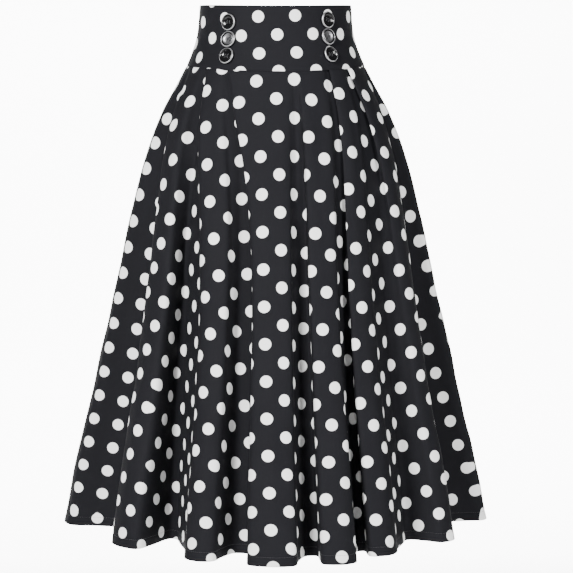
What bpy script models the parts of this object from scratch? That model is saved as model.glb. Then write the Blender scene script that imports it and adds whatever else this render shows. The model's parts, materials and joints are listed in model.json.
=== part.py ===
"""A pleated midi skirt, modelled as it hangs from the waist of its wearer.

Metres, +Z up. The origin is the middle of the waist opening, level with the top edge of the
waistband. The front faces -Y and the wearer's left side, which a viewer sees on the right, is +X.
"""

import math
from collections import namedtuple

import bmesh
import bpy
import numpy as np
from mathutils import Matrix, Vector

for old in list(bpy.data.objects):
    bpy.data.objects.remove(old)

# Driving sizes
BAND_HEIGHT = 0.087
BAND_DIP_AT_FRONT = 0.0065
BAND_TOP_DIP_AT_FRONT = 0.0028
HEM_DROP = 0.746
HEM_DIP_AT_FRONT = 0.005
BAND_WALL = 0.0024
SKIRT_WALL = 0.0012
SEAM_GAP = 0.0003
LAYER_PITCH = 0.0018
SIDE_SEAM_ANGLE_AT_WAIST = 84.0
SIDE_SEAM_ANGLE_AT_HEM = 91.0

# The oval that the ridges of the cloth reach, at each drop below the waist
Level = namedtuple("Level", "drop half_width front_depth back_depth")
ENVELOPE = [
    Level(0.000, 0.1085, 0.1030, 0.1030),
    Level(0.046, 0.1135, 0.1080, 0.1085),
    Level(0.078, 0.1247, 0.1165, 0.1190),
    Level(0.107, 0.1390, 0.1250, 0.1340),
    Level(0.150, 0.1624, 0.1390, 0.1560),
    Level(0.215, 0.1875, 0.1590, 0.1800),
    Level(0.289, 0.2070, 0.1810, 0.2010),
    Level(0.389, 0.2288, 0.2100, 0.2260),
    Level(0.534, 0.2610, 0.2520, 0.2610),
    Level(0.681, 0.2955, 0.2970, 0.3000),
    Level(0.751, 0.3095, 0.3180, 0.3160),
]

# One row for each fold of the cloth. The front's folds run from its left side to its right and all face
# the same way. The back's run from the zip to the side. Angles are degrees from the middle of the front
# or back. A pleat has an underlay: the cloth turns under by that angle at the waist seam. A soft fold
# has none. Depths are how far the hem lies inside the oval. A greater ease brings the fold to its
# place nearer to the waist
Fold = namedtuple(
    "Fold",
    "edge underlay valley_near valley_far valley_depth crest_near crest_far crest_depth ease",
)
FRONT = [
    Fold(-72.0, 0.0, -73.5, -69.0, 0.096, -57.8, -46.0, 0.023, 3.6),
    Fold(-50.3, 9.4, -50.5, -45.5, 0.114, -27.8, -19.8, 0.016, 3.6),
    Fold(-33.3, 9.4, -17.3, -11.8, 0.084, -9.6, 2.5, 0.002, 6.0),
    Fold(10.0, 0.0, 6.7, 10.7, 0.068, 9.9, 18.8, 0.003, 3.6),
    Fold(33.3, 9.4, 24.3, 27.6, 0.070, 25.4, 34.5, 0.026, 3.6),
    Fold(50.3, 9.4, 46.5, 50.8, 0.076, 52.5, 60.5, 0.020, 3.6),
    Fold(74.0, 0.0, 75.0, 79.5, 0.068, 83.5, 89.5, 0.000, 3.6),
]
BACK_RIGHT = [
    Fold(31.0, 9.4, 12.0, 16.5, 0.092, 19.5, 30.0, 0.010, 3.6),
    Fold(48.5, 9.4, 42.0, 46.5, 0.098, 45.5, 55.5, 0.014, 3.6),
    Fold(68.0, 0.0, 65.5, 70.0, 0.090, 75.0, 80.5, 0.004, 3.6),
]
BACK_LEFT = [
    Fold(31.0, 9.4, 14.0, 18.5, 0.098, 21.0, 32.0, 0.014, 3.6),
    Fold(48.5, 9.4, 44.5, 49.0, 0.094, 48.5, 57.5, 0.010, 3.6),
    Fold(68.0, 0.0, 66.5, 70.5, 0.086, 75.0, 80.5, 0.004, 3.6),
]

# The nine lines of a fold, in the order in which the cloth runs. At the waist seam each stands at a share
# of the underlay and some degrees past the fold's edge, under some layers of cloth, and the cloth after
# it gets some columns of faces
Line = namedtuple("Line", "underlay_share pleat_degrees soft_degrees layers steps")
FOLD_LINES = (
    Line(0.0, -5.40, -5.40, 0.0, 2),
    Line(0.0, -1.30, -3.30, 2.0, 2),
    Line(1.0, -0.45, -2.05, 2.0, 1),
    Line(1.0, 0.00, -0.60, 1.5, 1),
    Line(1.0, -0.45, 0.45, 1.0, 1),
    Line(0.5, 0.00, 1.20, 1.0, 2),
    Line(0.0, 0.40, 2.00, 1.0, 2),
    Line(0.0, 0.00, 3.40, 0.5, 2),
    Line(0.0, 0.40, 5.40, 0.0, 2),
)
PLAIN_EASE = 3.6
SLOPE_TURN = 0.3
RISER_TURN = 0.3
SHOULDER_DEPTH = 0.008
CREST_TOP = (-1.0, 1.5)
WIDEST_STEP = 9.0

# The ridge before the first fold: where its slope starts at the hem, in degrees, and how deep it is
Ridge = namedtuple("Ridge", "far depth")
RIDGE_AT_SIDE = Ridge(-82.5, 0.000)
RIDGE_AT_BACK = Ridge(7.0, 0.002)
SIDE_RIDGE_TOP = (-81.0, -86.5)
BACK_CREST_HALF_ANGLE = 5.5
CREST_STEPS = 2

# The rows down the skirt, as shares of the way from the waist seam to the hem
SKIRT_ROWS = (0.0, 0.05, 0.11, 0.18, 0.26, 0.35, 0.45, 0.56, 0.67, 0.78, 0.89, 1.0)


def eased(table, drop):
    """The oval's half width and its depths to the front and the back at a drop, on a smooth curve."""
    drops = np.array([row.drop for row in table])
    sizes = np.array([row[1:] for row in table])
    steps = np.diff(drops)[:, None]
    slopes = np.diff(sizes, axis=0) / steps
    rates = np.vstack([slopes[:1], (slopes[1:] + slopes[:-1]) / 2, slopes[-1:]])
    drop = np.clip(np.asarray(drop, float), drops[0], drops[-1])
    at = np.clip(np.searchsorted(drops, drop) - 1, 0, len(steps) - 1)
    step = steps[at]
    part = (drop - drops[at])[..., None] / step
    low = 1 + part**2 * (2 * part - 3)
    return (
        sizes[at] * low
        + sizes[at + 1] * (1 - low)
        + step * part * (1 - part) * (rates[at] * (1 - part) - rates[at + 1] * part)
    )


def band_bottom(angle):
    """The drop of the waist seam, which dips a little at the middle of the front."""
    return BAND_HEIGHT + BAND_DIP_AT_FRONT * np.maximum(np.cos(np.radians(angle)), 0) ** 2


def band_top(angle):
    """The drop of the band's top edge, which dips a little at the middle of the front."""
    return BAND_TOP_DIP_AT_FRONT * np.maximum(np.cos(np.radians(angle)), 0) ** 2


def on_oval(angle, drop, inset):
    """Points on the oval at angles in radians from the middle of the front, drawn in by an inset."""
    sizes = eased(ENVELOPE, drop) - np.asarray(inset)[..., None]
    depth = np.where(np.cos(angle) > 0, sizes[..., 1], sizes[..., 2])
    x, y = sizes[..., 0] * np.sin(angle), -depth * np.cos(angle)
    return np.stack([x, y, np.broadcast_to(-np.asarray(drop, float), x.shape)], axis=-1)


def fold_knots(folds, ridge):
    """Lines down the cloth as rows: waist angle and inset, hem angle and inset, ease, steps after it."""
    rows = []
    previous = ridge
    for fold in folds:
        layer = LAYER_PITCH if fold.underlay else 0.0
        waist = []
        for line in FOLD_LINES:
            degrees = line.pleat_degrees if fold.underlay else line.soft_degrees
            waist.append((fold.edge + line.underlay_share * fold.underlay + degrees, line.layers * layer))
        valley_middle = (fold.valley_near + fold.valley_far) / 2
        crest_middle = (fold.crest_near + fold.crest_far) / 2
        slope_angle = previous.far + SLOPE_TURN * (fold.valley_near - previous.far)
        riser_angle = fold.crest_near + RISER_TURN * (fold.valley_far - fold.crest_near)
        hem = (
            (previous.far, previous.depth + SHOULDER_DEPTH),
            (slope_angle, (previous.depth + fold.valley_depth) / 2),
            (fold.valley_near, fold.valley_depth - SHOULDER_DEPTH / 2),
            (valley_middle, fold.valley_depth),
            (fold.valley_far, fold.valley_depth - SHOULDER_DEPTH / 2),
            (riser_angle, (fold.crest_depth + fold.valley_depth) / 2),
            (fold.crest_near, fold.crest_depth + SHOULDER_DEPTH),
            (crest_middle + CREST_TOP[0], fold.crest_depth),
            (crest_middle + CREST_TOP[1], fold.crest_depth),
        )
        rows += [w + h + (fold.ease, line.steps) for w, h, line in zip(waist, hem, FOLD_LINES)]
        previous = Ridge(fold.crest_far, fold.crest_depth)
    return rows


def plain_knot(waist_angle, hem_angle, steps):
    """A line down the cloth that stays on the oval."""
    return (waist_angle, 0.0, hem_angle, 0.0, PLAIN_EASE, steps)


def turned(rows, sign, base):
    """The same lines measured from the middle of the front, at a base angle, on one side of it."""
    return [(base + sign * w, wi, base + sign * h, hi, ease, n) for w, wi, h, hi, ease, n in rows]


def backwards(rows):
    """The same lines in the other order, so each keeps the steps of the stretch after it."""
    steps = [CREST_STEPS] + [row[5] for row in rows[:-1]]
    return [row[:5] + (n,) for row, n in zip(rows[::-1], steps[::-1])]


def all_knots():
    """Every line down the cloth, from the middle of the back by the left, the front and the right."""
    half = BACK_CREST_HALF_ANGLE
    seam_waist, seam_hem = SIDE_SEAM_ANGLE_AT_WAIST, SIDE_SEAM_ANGLE_AT_HEM
    knots = [plain_knot(-180.0, -180.0, 1), plain_knot(half - 180.0, half - 180.0, CREST_STEPS)]
    knots += turned(fold_knots(BACK_LEFT, RIDGE_AT_BACK), 1, -180.0)
    marks = {"middle_back_left": 0, "side_left": len(knots)}
    knots += [plain_knot(-seam_waist, -seam_hem, 1), plain_knot(*SIDE_RIDGE_TOP, 1)]
    knots += fold_knots(FRONT, RIDGE_AT_SIDE)
    marks["side_right"] = len(knots)
    knots.append(plain_knot(seam_waist, seam_hem, CREST_STEPS))
    knots += turned(backwards(fold_knots(BACK_RIGHT, RIDGE_AT_BACK)), -1, 180.0)
    knots += [plain_knot(180.0 - half, 180.0 - half, 1), plain_knot(180.0, 180.0, 1)]
    marks["middle_back_right"] = len(knots) - 1
    knots = np.array(knots)
    wide = np.ceil(np.diff(knots[:, 0]) / WIDEST_STEP)
    knots[:-1, 5] = np.maximum(knots[:-1, 5], wide)
    return knots, marks


KNOTS, MARKS = all_knots()


def knots_at(share):
    """The knots' angles and insets at a share of the way down from the waist seam to the hem."""
    turn = 1 - (1 - share) ** KNOTS[:, 4]
    angles = KNOTS[:, 0] + (KNOTS[:, 2] - KNOTS[:, 0]) * turn
    insets = KNOTS[:, 1] + (KNOTS[:, 3] - KNOTS[:, 1]) * share
    return angles, insets


def section(share):
    """The middle of the cloth at one level, as x, y, z rows, with the row number of each knot."""
    angles, insets = knots_at(share)
    steps = KNOTS[:, 5].astype(int)
    radius = eased(ENVELOPE, BAND_HEIGHT + share * (HEM_DROP - BAND_HEIGHT)).mean()
    flat = np.column_stack([np.radians(angles) * radius, insets])
    lap = np.array([2 * math.pi * radius, 0.0])
    around = np.vstack([flat[-2] - lap, flat, flat[1] + lap])
    points, starts = [], []
    for i in range(len(flat) - 1):
        starts.append(len(points))
        a, b, c, d = around[i : i + 4]
        t = np.cumsum([0.0] + [max(math.dist(p, q), 1e-6) ** 0.5 for p, q in ((a, b), (b, c), (c, d))])
        for k in range(steps[i]):
            x = t[1] + (t[2] - t[1]) * k / steps[i]
            ab = (a * (t[1] - x) + b * (x - t[0])) / (t[1] - t[0])
            bc = (b * (t[2] - x) + c * (x - t[1])) / (t[2] - t[1])
            cd = (c * (t[3] - x) + d * (x - t[2])) / (t[3] - t[2])
            abc = (ab * (t[2] - x) + bc * (x - t[0])) / (t[2] - t[0])
            bcd = (bc * (t[3] - x) + cd * (x - t[1])) / (t[3] - t[1])
            points.append((abc * (t[2] - x) + bcd * (x - t[1])) / (t[2] - t[1]))
    starts.append(len(points))
    points.append(flat[-1])
    points = np.array(points)
    angle = points[:, 0] / radius
    top = band_bottom(np.degrees(angle)) + SEAM_GAP
    hem = HEM_DROP + HEM_DIP_AT_FRONT * np.maximum(np.cos(angle), 0)
    drop = top + share * (hem - top)
    return on_oval(angle, drop, points[:, 1]), starts


# Building walls from sections


def finish(name, mesh, material, smooth_angle=40.0):
    """Adds a mesh to the scene as one named object with its material."""
    body = bpy.data.objects.new(name, mesh)
    bpy.context.scene.collection.objects.link(body)
    mesh.materials.append(material)
    mesh.shade_smooth()
    mesh.set_sharp_from_angle(angle=math.radians(smooth_angle))
    return body


def fabric(name, colour, roughness, metallic=0.0):
    """A Principled material with one colour."""
    material = bpy.data.materials.new(name)
    material.use_nodes = True
    shader = material.node_tree.nodes["Principled BSDF"]
    shader.inputs["Base Color"].default_value = (*colour, 1.0)
    shader.inputs["Roughness"].default_value = roughness
    shader.inputs["Metallic"].default_value = metallic
    return material


def sideways(rows):
    """The level direction square to a section's curve, pointing out of the garment."""
    pieces = np.diff(rows[:, :2], axis=0)
    pieces /= np.linalg.norm(pieces, axis=1)[:, None]
    along = np.vstack([pieces[:1], pieces[1:] + pieces[:-1], pieces[-1:]])
    along /= np.linalg.norm(along, axis=1)[:, None]
    return np.column_stack([along[:, 1], -along[:, 0], np.zeros(len(along))])


def wall(name, sections, thickness, material):
    """A wall between two faces, half the thickness either side of a grid of section rows."""
    shell = bmesh.new()
    faces = []
    for side in (1, -1):
        grid = []
        for rows, outward in sections:
            grid.append([shell.verts.new(p) for p in rows + outward * side * thickness / 2])
        faces.append(grid)
    outer, inner = faces
    last_row, last_column = len(outer) - 1, len(outer[0]) - 1
    for r in range(last_row):
        for c in range(last_column):
            shell.faces.new((outer[r][c], outer[r + 1][c], outer[r + 1][c + 1], outer[r][c + 1]))
            shell.faces.new((inner[r][c], inner[r][c + 1], inner[r + 1][c + 1], inner[r + 1][c]))
    for c in range(last_column):
        for r, turn in ((0, 1), (last_row, -1)):
            rim = (outer[r][c], outer[r][c + 1], inner[r][c + 1], inner[r][c])
            shell.faces.new(rim[::turn])
    for r in range(last_row):
        for c, turn in ((0, -1), (last_column, 1)):
            rim = (outer[r][c], outer[r + 1][c], inner[r + 1][c], inner[r][c])
            shell.faces.new(rim[::turn])
    mesh = bpy.data.meshes.new(name)
    shell.to_mesh(mesh)
    shell.free()
    return finish(name, mesh, material)


def step_in(rows, first_gap, last_gap):
    """Draws the two ends of a section row in along its curve, to leave a gap at each seam."""
    rows = rows.copy()
    for end, beside, gap in ((0, 1, first_gap), (-1, -2, last_gap)):
        toward = rows[beside] - rows[end]
        rows[end] += toward / np.linalg.norm(toward) * gap
    return rows


# The zip at the middle of the back, whose opening is wider where the slider is parked
ZIP_END_DROP = 0.245
ZIP_SLOT = 0.0012
SLIDER_SLOT = 0.0060
SLIDER_SLOT_DROP = 0.013
TAPE_WIDTH = 0.024
TAPE_WALL = 0.0010
TAPE_TOP_DROP = 0.003
TAPE_END_SHARE = 0.26
TAPE_CLEARANCE = 0.0007


def back_gap(drop):
    """How far each back edge stands from the middle of the back at a drop."""
    if drop > ZIP_END_DROP:
        return SEAM_GAP / 2
    if drop > SLIDER_SLOT_DROP:
        return ZIP_SLOT / 2
    return SLIDER_SLOT / 2


COTTON = fabric("black_cotton", (0.012, 0.012, 0.014), 0.85)
ZIP_TAPE_CLOTH = fabric("zip_tape", (0.010, 0.010, 0.012), 0.9)
BLACK_RESIN = fabric("black_resin", (0.006, 0.006, 0.007), 0.12)
SILVER = fabric("silver_finish", (0.45, 0.45, 0.47), 0.25, 1.0)
ZIP_METAL = fabric("zip_metal", (0.05, 0.05, 0.055), 0.3, 1.0)


# Skirt panels


def skirt_panels():
    """The front and the two back panels, cut from the same rows so that their folds meet."""
    levels = [section(share) for share in SKIRT_ROWS]
    starts = levels[0][1]
    left, right = starts[MARKS["side_left"]], starts[MARKS["side_right"]]
    panels = (
        ("skirt_back_left", 0, left, True, False),
        ("skirt_front", left, right, False, False),
        ("skirt_back_right", right, starts[-1], False, True),
    )
    for name, first, last, opens_first, opens_last in panels:
        rows_of_panel = []
        for rows, _ in levels:
            outward = sideways(rows)
            gap = back_gap(-rows[0][2])
            cut = step_in(
                rows[first : last + 1],
                gap if opens_first else SEAM_GAP / 2,
                gap if opens_last else SEAM_GAP / 2,
            )
            rows_of_panel.append((cut, outward[first : last + 1]))
        wall(name, rows_of_panel, SKIRT_WALL, COTTON)


# Waistband

BAND_ROW_DROPS = (0.0, SLIDER_SLOT_DROP, 0.0135, 0.03, 0.046, 0.062, 0.078, BAND_HEIGHT)
BAND_STEP_ANGLE = 6.0
BAND_INSET = (BAND_WALL - SKIRT_WALL) / 2


def oval_point(angle, drop, inset):
    """The point on the oval at an angle in degrees and a drop, drawn in by the inset."""
    return on_oval(math.radians(angle), drop, inset)


def waistband():
    """The band's front and two backs, as walls round the oval between the waist and the seam."""
    side = SIDE_SEAM_ANGLE_AT_WAIST
    pieces = (
        ("waistband_back_left", -180.0, -side, True, False),
        ("waistband_front", -side, side, False, False),
        ("waistband_back_right", side, 180.0, False, True),
    )
    for name, first, last, opens_first, opens_last in pieces:
        count = round((last - first) / BAND_STEP_ANGLE)
        angles = np.linspace(first, last, count + 1)
        rows_of_piece = []
        for row_drop in BAND_ROW_DROPS:
            share = row_drop / BAND_HEIGHT
            drops = band_top(angles) + share * (band_bottom(angles) - band_top(angles))
            rows = on_oval(np.radians(angles), drops, BAND_INSET + 0 * drops)
            gap = back_gap(row_drop)
            cut = step_in(
                rows,
                gap if opens_first else SEAM_GAP / 2,
                gap if opens_last else SEAM_GAP / 2,
            )
            rows_of_piece.append((cut, sideways(rows)))
        wall(name, rows_of_piece, BAND_WALL, COTTON)


# Buttons

BUTTON_RADIUS = 0.0115
BUTTON_STAND_OFF = 0.0009
BUTTON_SEGMENTS = 18
BUTTON_HOLE_RADIUS = 0.0010
BUTTON_HOLE_REACH = 0.0023
BUTTON_HOLE_SIDES = 8
# Radius and height of the button's turned outline, from the middle of its face to its back
BUTTON_PROFILE = (
    (0.0000, 0.0018),
    (0.0052, 0.0022),
    (0.0078, 0.0029),
    (0.0086, 0.0024),
    (0.0096, 0.0036),
    (0.0108, 0.0035),
    (BUTTON_RADIUS, 0.0022),
    (0.0100, 0.0000),
    (0.0000, 0.0000),
)
Place = namedtuple("Place", "side number angle drop tilt_across tilt_down silver")
BUTTONS = (
    Place("left", 1, -37.9, 0.0250, -1.2, 0.8, False),
    Place("left", 2, -37.0, 0.0493, 1.0, -1.0, True),
    Place("left", 3, -35.6, 0.0728, -0.6, 0.4, False),
    Place("right", 1, 38.1, 0.0216, 1.2, 0.6, False),
    Place("right", 2, 37.3, 0.0455, -1.2, -1.0, True),
    Place("right", 3, 36.3, 0.0708, 0.6, 0.6, False),
)


def button(place):
    """One turned button with four sewing holes, lying square to the band but for a slight tilt."""
    name = f"button_{place.side}_{place.number}"
    mesh = bpy.data.meshes.new(name)
    edges = [(i, i + 1) for i in range(len(BUTTON_PROFILE) - 1)]
    mesh.from_pydata([(r, 0, z) for r, z in BUTTON_PROFILE], edges, [])
    body = finish(name, mesh, SILVER if place.silver else BLACK_RESIN)
    turn = body.modifiers.new("Turn", "SCREW")
    turn.steps = turn.render_steps = BUTTON_SEGMENTS
    turn.use_merge_vertices = True
    turn.merge_threshold = 0.00001
    here = oval_point(place.angle, place.drop, 0.0)
    across = Vector(oval_point(place.angle + 1.0, place.drop, 0.0) - here).normalized()
    down = Vector(oval_point(place.angle, place.drop + 0.002, 0.0) - here).normalized()
    outward = down.cross(across).normalized()
    frame = Matrix((across, -down, outward)).transposed().to_4x4()
    tilt = Matrix.Rotation(math.radians(place.tilt_across), 4, "Y")
    tilt = tilt @ Matrix.Rotation(math.radians(place.tilt_down), 4, "X")
    lift = SKIRT_WALL / 2 + BUTTON_STAND_OFF
    body.matrix_world = Matrix.Translation(Vector(here) + outward * lift) @ frame @ tilt
    for number in range(4):
        corner = math.radians(45 + 90 * number)
        at = (BUTTON_HOLE_REACH * math.cos(corner), BUTTON_HOLE_REACH * math.sin(corner), 0.002)
        bpy.ops.mesh.primitive_cylinder_add(
            vertices=BUTTON_HOLE_SIDES, radius=BUTTON_HOLE_RADIUS, depth=0.01, location=at
        )
        cutter = bpy.context.active_object
        cutter.name = f"{name}_hole_{number + 1}"
        cutter.matrix_world = body.matrix_world @ cutter.matrix_world
        cutter.hide_render = True
        cutter.display_type = "WIRE"
        cut = body.modifiers.new(f"Hole {number + 1}", "BOOLEAN")
        cut.object = cutter
    return body


# Zip

SLIDER_DROP = 0.0075
SLIDER_WIDTH = 0.0048
SLIDER_HEIGHT = 0.0085
SLIDER_DEPTH = 0.0032
PIN_REACH = 0.0056
PIN_RISE = 0.0015
PIN_RADIUS = 0.0006
EAR_OFFSET = 0.0019
EAR_THICKNESS = 0.0010
EAR_RADIUS = 0.0012
EYE_RADIUS = 0.0018
EYE_HOLE_RADIUS = 0.0010
EYE_WIDTH = 0.0022
PULL_WIDTH = 0.0046
PULL_THICKNESS = 0.0010
PULL_LENGTH = 0.0190
PULL_NECK = 0.0040
PULL_TAB_OVERLAP = 0.0005
PULL_EDGE = 0.0003


def zip_tape():
    """The tape behind the opening, following the inner face of the band and then of the skirt."""
    beside_band = (TAPE_TOP_DROP,) + BAND_ROW_DROPS[2:]
    seam = BAND_HEIGHT + SEAM_GAP
    beside_skirt = [seam + s * (HEM_DROP - seam) for s in SKIRT_ROWS[1:] if s <= TAPE_END_SHARE]
    band_inside = BAND_INSET + BAND_WALL / 2 + SEAM_GAP + TAPE_WALL / 2
    skirt_inside = SKIRT_WALL / 2 + TAPE_CLEARANCE + TAPE_WALL / 2
    rows_of_tape = []
    for drop in (*beside_band, *beside_skirt):
        inset = band_inside if drop <= BAND_HEIGHT else skirt_inside
        half_angle = math.degrees(TAPE_WIDTH / 2 / eased(ENVELOPE, drop)[0])
        angles = np.linspace(180.0 - half_angle, 180.0 + half_angle, 5)
        rows = np.array([oval_point(a, drop, inset) for a in angles])
        rows_of_tape.append((rows, sideways(rows)))
    wall("zip_tape", rows_of_tape, TAPE_WALL, ZIP_TAPE_CLOTH)


def block(name, size, centre):
    """A plain box mesh object, for joining to others."""
    bpy.ops.mesh.primitive_cube_add(size=1, location=centre)
    made = bpy.context.active_object
    made.name = name
    made.data.transform(Matrix.Diagonal((*size, 1)))
    return made


def rod(name, radius, length, centre, sides=12):
    """A round bar along X."""
    bpy.ops.mesh.primitive_cylinder_add(
        vertices=sides, radius=radius, depth=length, location=centre, rotation=(0, math.pi / 2, 0)
    )
    made = bpy.context.active_object
    made.name = name
    return made


def joined(body, others, operation="UNION"):
    """Unites the others with the body, or cuts them from it, and applies the result."""
    for other in others:
        change = body.modifiers.new("Join", "BOOLEAN")
        change.operation = operation
        change.object = other
        bpy.context.view_layer.objects.active = body
        bpy.ops.object.modifier_apply(modifier=change.name)
        bpy.data.objects.remove(other)


def zip_slider_and_pull():
    """The slider parked at the top, and the pull that hangs from its pin."""
    top, below = ENVELOPE[:2]
    lean = math.atan2(below.back_depth - top.back_depth, below.drop - top.drop)
    back = oval_point(180.0, SLIDER_DROP, BAND_INSET + BAND_WALL / 2)
    slider = block("zip_slider", (SLIDER_WIDTH, SLIDER_DEPTH, SLIDER_HEIGHT), (0, 0, 0))
    slider.data.transform(Matrix.Translation((0, SLIDER_DEPTH / 2, 0)))
    ears = []
    for side in (-1, 1):
        x = side * EAR_OFFSET
        reach = PIN_REACH - SLIDER_DEPTH / 2
        ears.append(
            block(
                "ear",
                (EAR_THICKNESS, reach, 2 * EAR_RADIUS),
                (x, PIN_REACH - reach / 2, PIN_RISE),
            )
        )
        ears.append(rod("ear_end", EAR_RADIUS, EAR_THICKNESS, (x, PIN_REACH, PIN_RISE)))
    pin = rod("pin", PIN_RADIUS, 2 * EAR_OFFSET, (0, PIN_REACH, PIN_RISE), 10)
    joined(slider, ears + [pin])
    slider.data.materials.append(ZIP_METAL)
    slider.matrix_world = Matrix.Translation(back) @ Matrix.Rotation(lean, 4, "X")
    axis = slider.matrix_world @ Vector((0, PIN_REACH, PIN_RISE))
    pull = rod("zip_pull", EYE_RADIUS, EYE_WIDTH, (0, 0, 0), 14)
    bpy.ops.object.transform_apply(location=False, rotation=True, scale=False)
    neck = block("neck", (EYE_WIDTH, PULL_THICKNESS, PULL_NECK), (0, 0, -PULL_NECK / 2))
    tab_height = PULL_LENGTH - PULL_NECK + PULL_TAB_OVERLAP
    tab = block(
        "tab",
        (PULL_WIDTH, PULL_THICKNESS, tab_height),
        (0, 0, -PULL_LENGTH + tab_height / 2),
    )
    soften = tab.modifiers.new("Soften", "BEVEL")
    soften.width = PULL_EDGE
    soften.segments = 1
    bpy.context.view_layer.objects.active = tab
    bpy.ops.object.modifier_apply(modifier=soften.name)
    joined(pull, [neck, tab])
    hole = rod("eye_hole", EYE_HOLE_RADIUS, 2 * EYE_WIDTH, (0, 0, 0), 12)
    joined(pull, [hole], "DIFFERENCE")
    pull.data.materials.append(ZIP_METAL)
    pull.location = axis
    print("zip pull axis", [round(value, 5) for value in axis])


skirt_panels()
waistband()
for place in BUTTONS:
    button(place)
zip_tape()
zip_slider_and_pull()
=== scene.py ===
# %% [markdown]
# # A pleated midi skirt
# The skirt hangs as it is worn: a wide shaped waistband, pleats and soft folds below it, six buttons
# at the front and a zip at the middle of the back. The solids of the skirt are loaded first. Each cloth
# solid is then replaced by thin cloth with the same folds, and the small things that a sewer adds
# follow: stitches, buttons, thread and zip teeth. Metres are used all through. +Z is up, -Y is the front.

# %% Load the solids
import json
import math
from collections import namedtuple

import bmesh
import bpy
import numpy as np
from mathutils import Matrix, Vector

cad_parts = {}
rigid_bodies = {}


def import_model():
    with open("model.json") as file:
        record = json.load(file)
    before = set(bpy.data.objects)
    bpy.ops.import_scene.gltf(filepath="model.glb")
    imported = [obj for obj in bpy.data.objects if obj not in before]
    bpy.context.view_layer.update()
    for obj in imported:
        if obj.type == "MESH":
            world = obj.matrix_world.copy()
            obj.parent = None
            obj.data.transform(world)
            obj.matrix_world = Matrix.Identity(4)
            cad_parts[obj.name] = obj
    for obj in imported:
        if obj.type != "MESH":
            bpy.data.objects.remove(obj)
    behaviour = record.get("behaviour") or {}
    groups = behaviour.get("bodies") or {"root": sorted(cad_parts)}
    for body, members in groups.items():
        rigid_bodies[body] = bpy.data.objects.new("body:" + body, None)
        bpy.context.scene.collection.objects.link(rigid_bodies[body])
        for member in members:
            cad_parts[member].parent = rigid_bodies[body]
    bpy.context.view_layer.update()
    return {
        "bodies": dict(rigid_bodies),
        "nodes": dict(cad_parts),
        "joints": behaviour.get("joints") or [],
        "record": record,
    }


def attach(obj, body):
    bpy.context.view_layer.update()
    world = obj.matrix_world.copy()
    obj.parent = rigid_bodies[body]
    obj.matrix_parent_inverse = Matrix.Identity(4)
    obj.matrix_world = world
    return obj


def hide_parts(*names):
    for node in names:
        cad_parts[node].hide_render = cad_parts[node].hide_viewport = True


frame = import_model()
GARMENT = "garment"

# %% [markdown]
# ## The camera
# A catalogue picture of a skirt is taken from far off with a long lens, so that the hem and the waist
# keep their true proportions. The camera stands about 3.3 m away, level with the waistband's lower edge,
# and looks down a little, so the hem's folds show as waves. Its focal length is worked out from how many
# pixels wide one radian is in a square picture.

# %% Camera
PICTURE_PIXELS = 573
FOCAL_PIXELS = 2276
SENSOR_WIDTH = 36.0
CAMERA_TURN = math.radians(-2.7)
CAMERA_DISTANCE = 3.3
CAMERA_SIDE_STEP = 0.0158
CAMERA_HEIGHT = -0.092
CAMERA_LOOKS_DOWN = math.radians(5.43)

lens = bpy.data.cameras.new("portrait_lens")
lens.sensor_width = SENSOR_WIDTH
lens.lens = SENSOR_WIDTH * FOCAL_PIXELS / PICTURE_PIXELS
camera = bpy.data.objects.new("portrait_camera", lens)
bpy.context.scene.collection.objects.link(camera)
around = Matrix.Rotation(CAMERA_TURN, 4, "Z")
camera.location = around @ Vector((CAMERA_SIDE_STEP, -CAMERA_DISTANCE, CAMERA_HEIGHT))
camera.rotation_euler = (math.pi / 2 - CAMERA_LOOKS_DOWN, 0.0, CAMERA_TURN)
bpy.context.scene.camera = camera
print("lens", round(lens.lens, 1), "mm at", [round(v, 3) for v in camera.location])

# %% [markdown]
# ## Small helpers for materials
# A material here is a tree of nodes that works out a colour, a roughness and a relief at each point.
# These helpers add a node, set its options and join its inputs, so that a recipe reads as a list of steps.


# %% Node helpers
def fill(tree, socket, value):
    """Gives a socket a plain value, or joins it to another node's output."""
    if isinstance(value, bpy.types.NodeSocket):
        tree.links.new(value, socket)
    else:
        socket.default_value = value


def add_node(tree, kind, options=None, inputs=None):
    """Adds a node, sets its options, and fills its inputs with values or with other nodes' outputs."""
    made = tree.nodes.new(kind)
    for name, value in (options or {}).items():
        setattr(made, name, value)
    for name, value in (inputs or {}).items():
        fill(tree, made.inputs[name], value)
    return made


def new_material(name, colour, roughness, **settings):
    """A Principled material with plain values on its own sockets. Returns it with its tree and shader."""
    material = bpy.data.materials.new(name)
    material.use_nodes = True
    tree = material.node_tree
    shader = tree.nodes["Principled BSDF"]
    shader.inputs["Base Color"].default_value = (*colour, 1.0)
    shader.inputs["Roughness"].default_value = roughness
    for socket, value in settings.items():
        shader.inputs[socket.replace("_", " ")].default_value = value
    return material, tree, shader


def math_node(tree, operation, first, second=0.0, third=0.0):
    """The output of one Math node."""
    inputs = {0: first, 1: second, 2: third}
    return add_node(tree, "ShaderNodeMath", {"operation": operation}, inputs).outputs[0]


def vector_node(tree, operation, inputs):
    """One Vector Math node, whose outputs are a vector and a value."""
    return add_node(tree, "ShaderNodeVectorMath", {"operation": operation}, inputs)


# %% [markdown]
# ## Steps that most materials share
# Cloth, thread, paper and worn metal differ in their colours, but their recipes have the same steps: a
# cloudy pattern, a change between two values, a mix of two colours, and a relief that the light catches.


# %% Shared steps
def own_place(tree):
    """Where a point lies in its object's own axes."""
    return add_node(tree, "ShaderNodeTexCoord").outputs["Object"]


def clouds(tree, place, scale, detail):
    """A cloudy pattern from 0 to 1."""
    inputs = {"Vector": place, "Scale": scale, "Detail": detail}
    return add_node(tree, "ShaderNodeTexNoise", None, inputs).outputs["Fac"]


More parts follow.
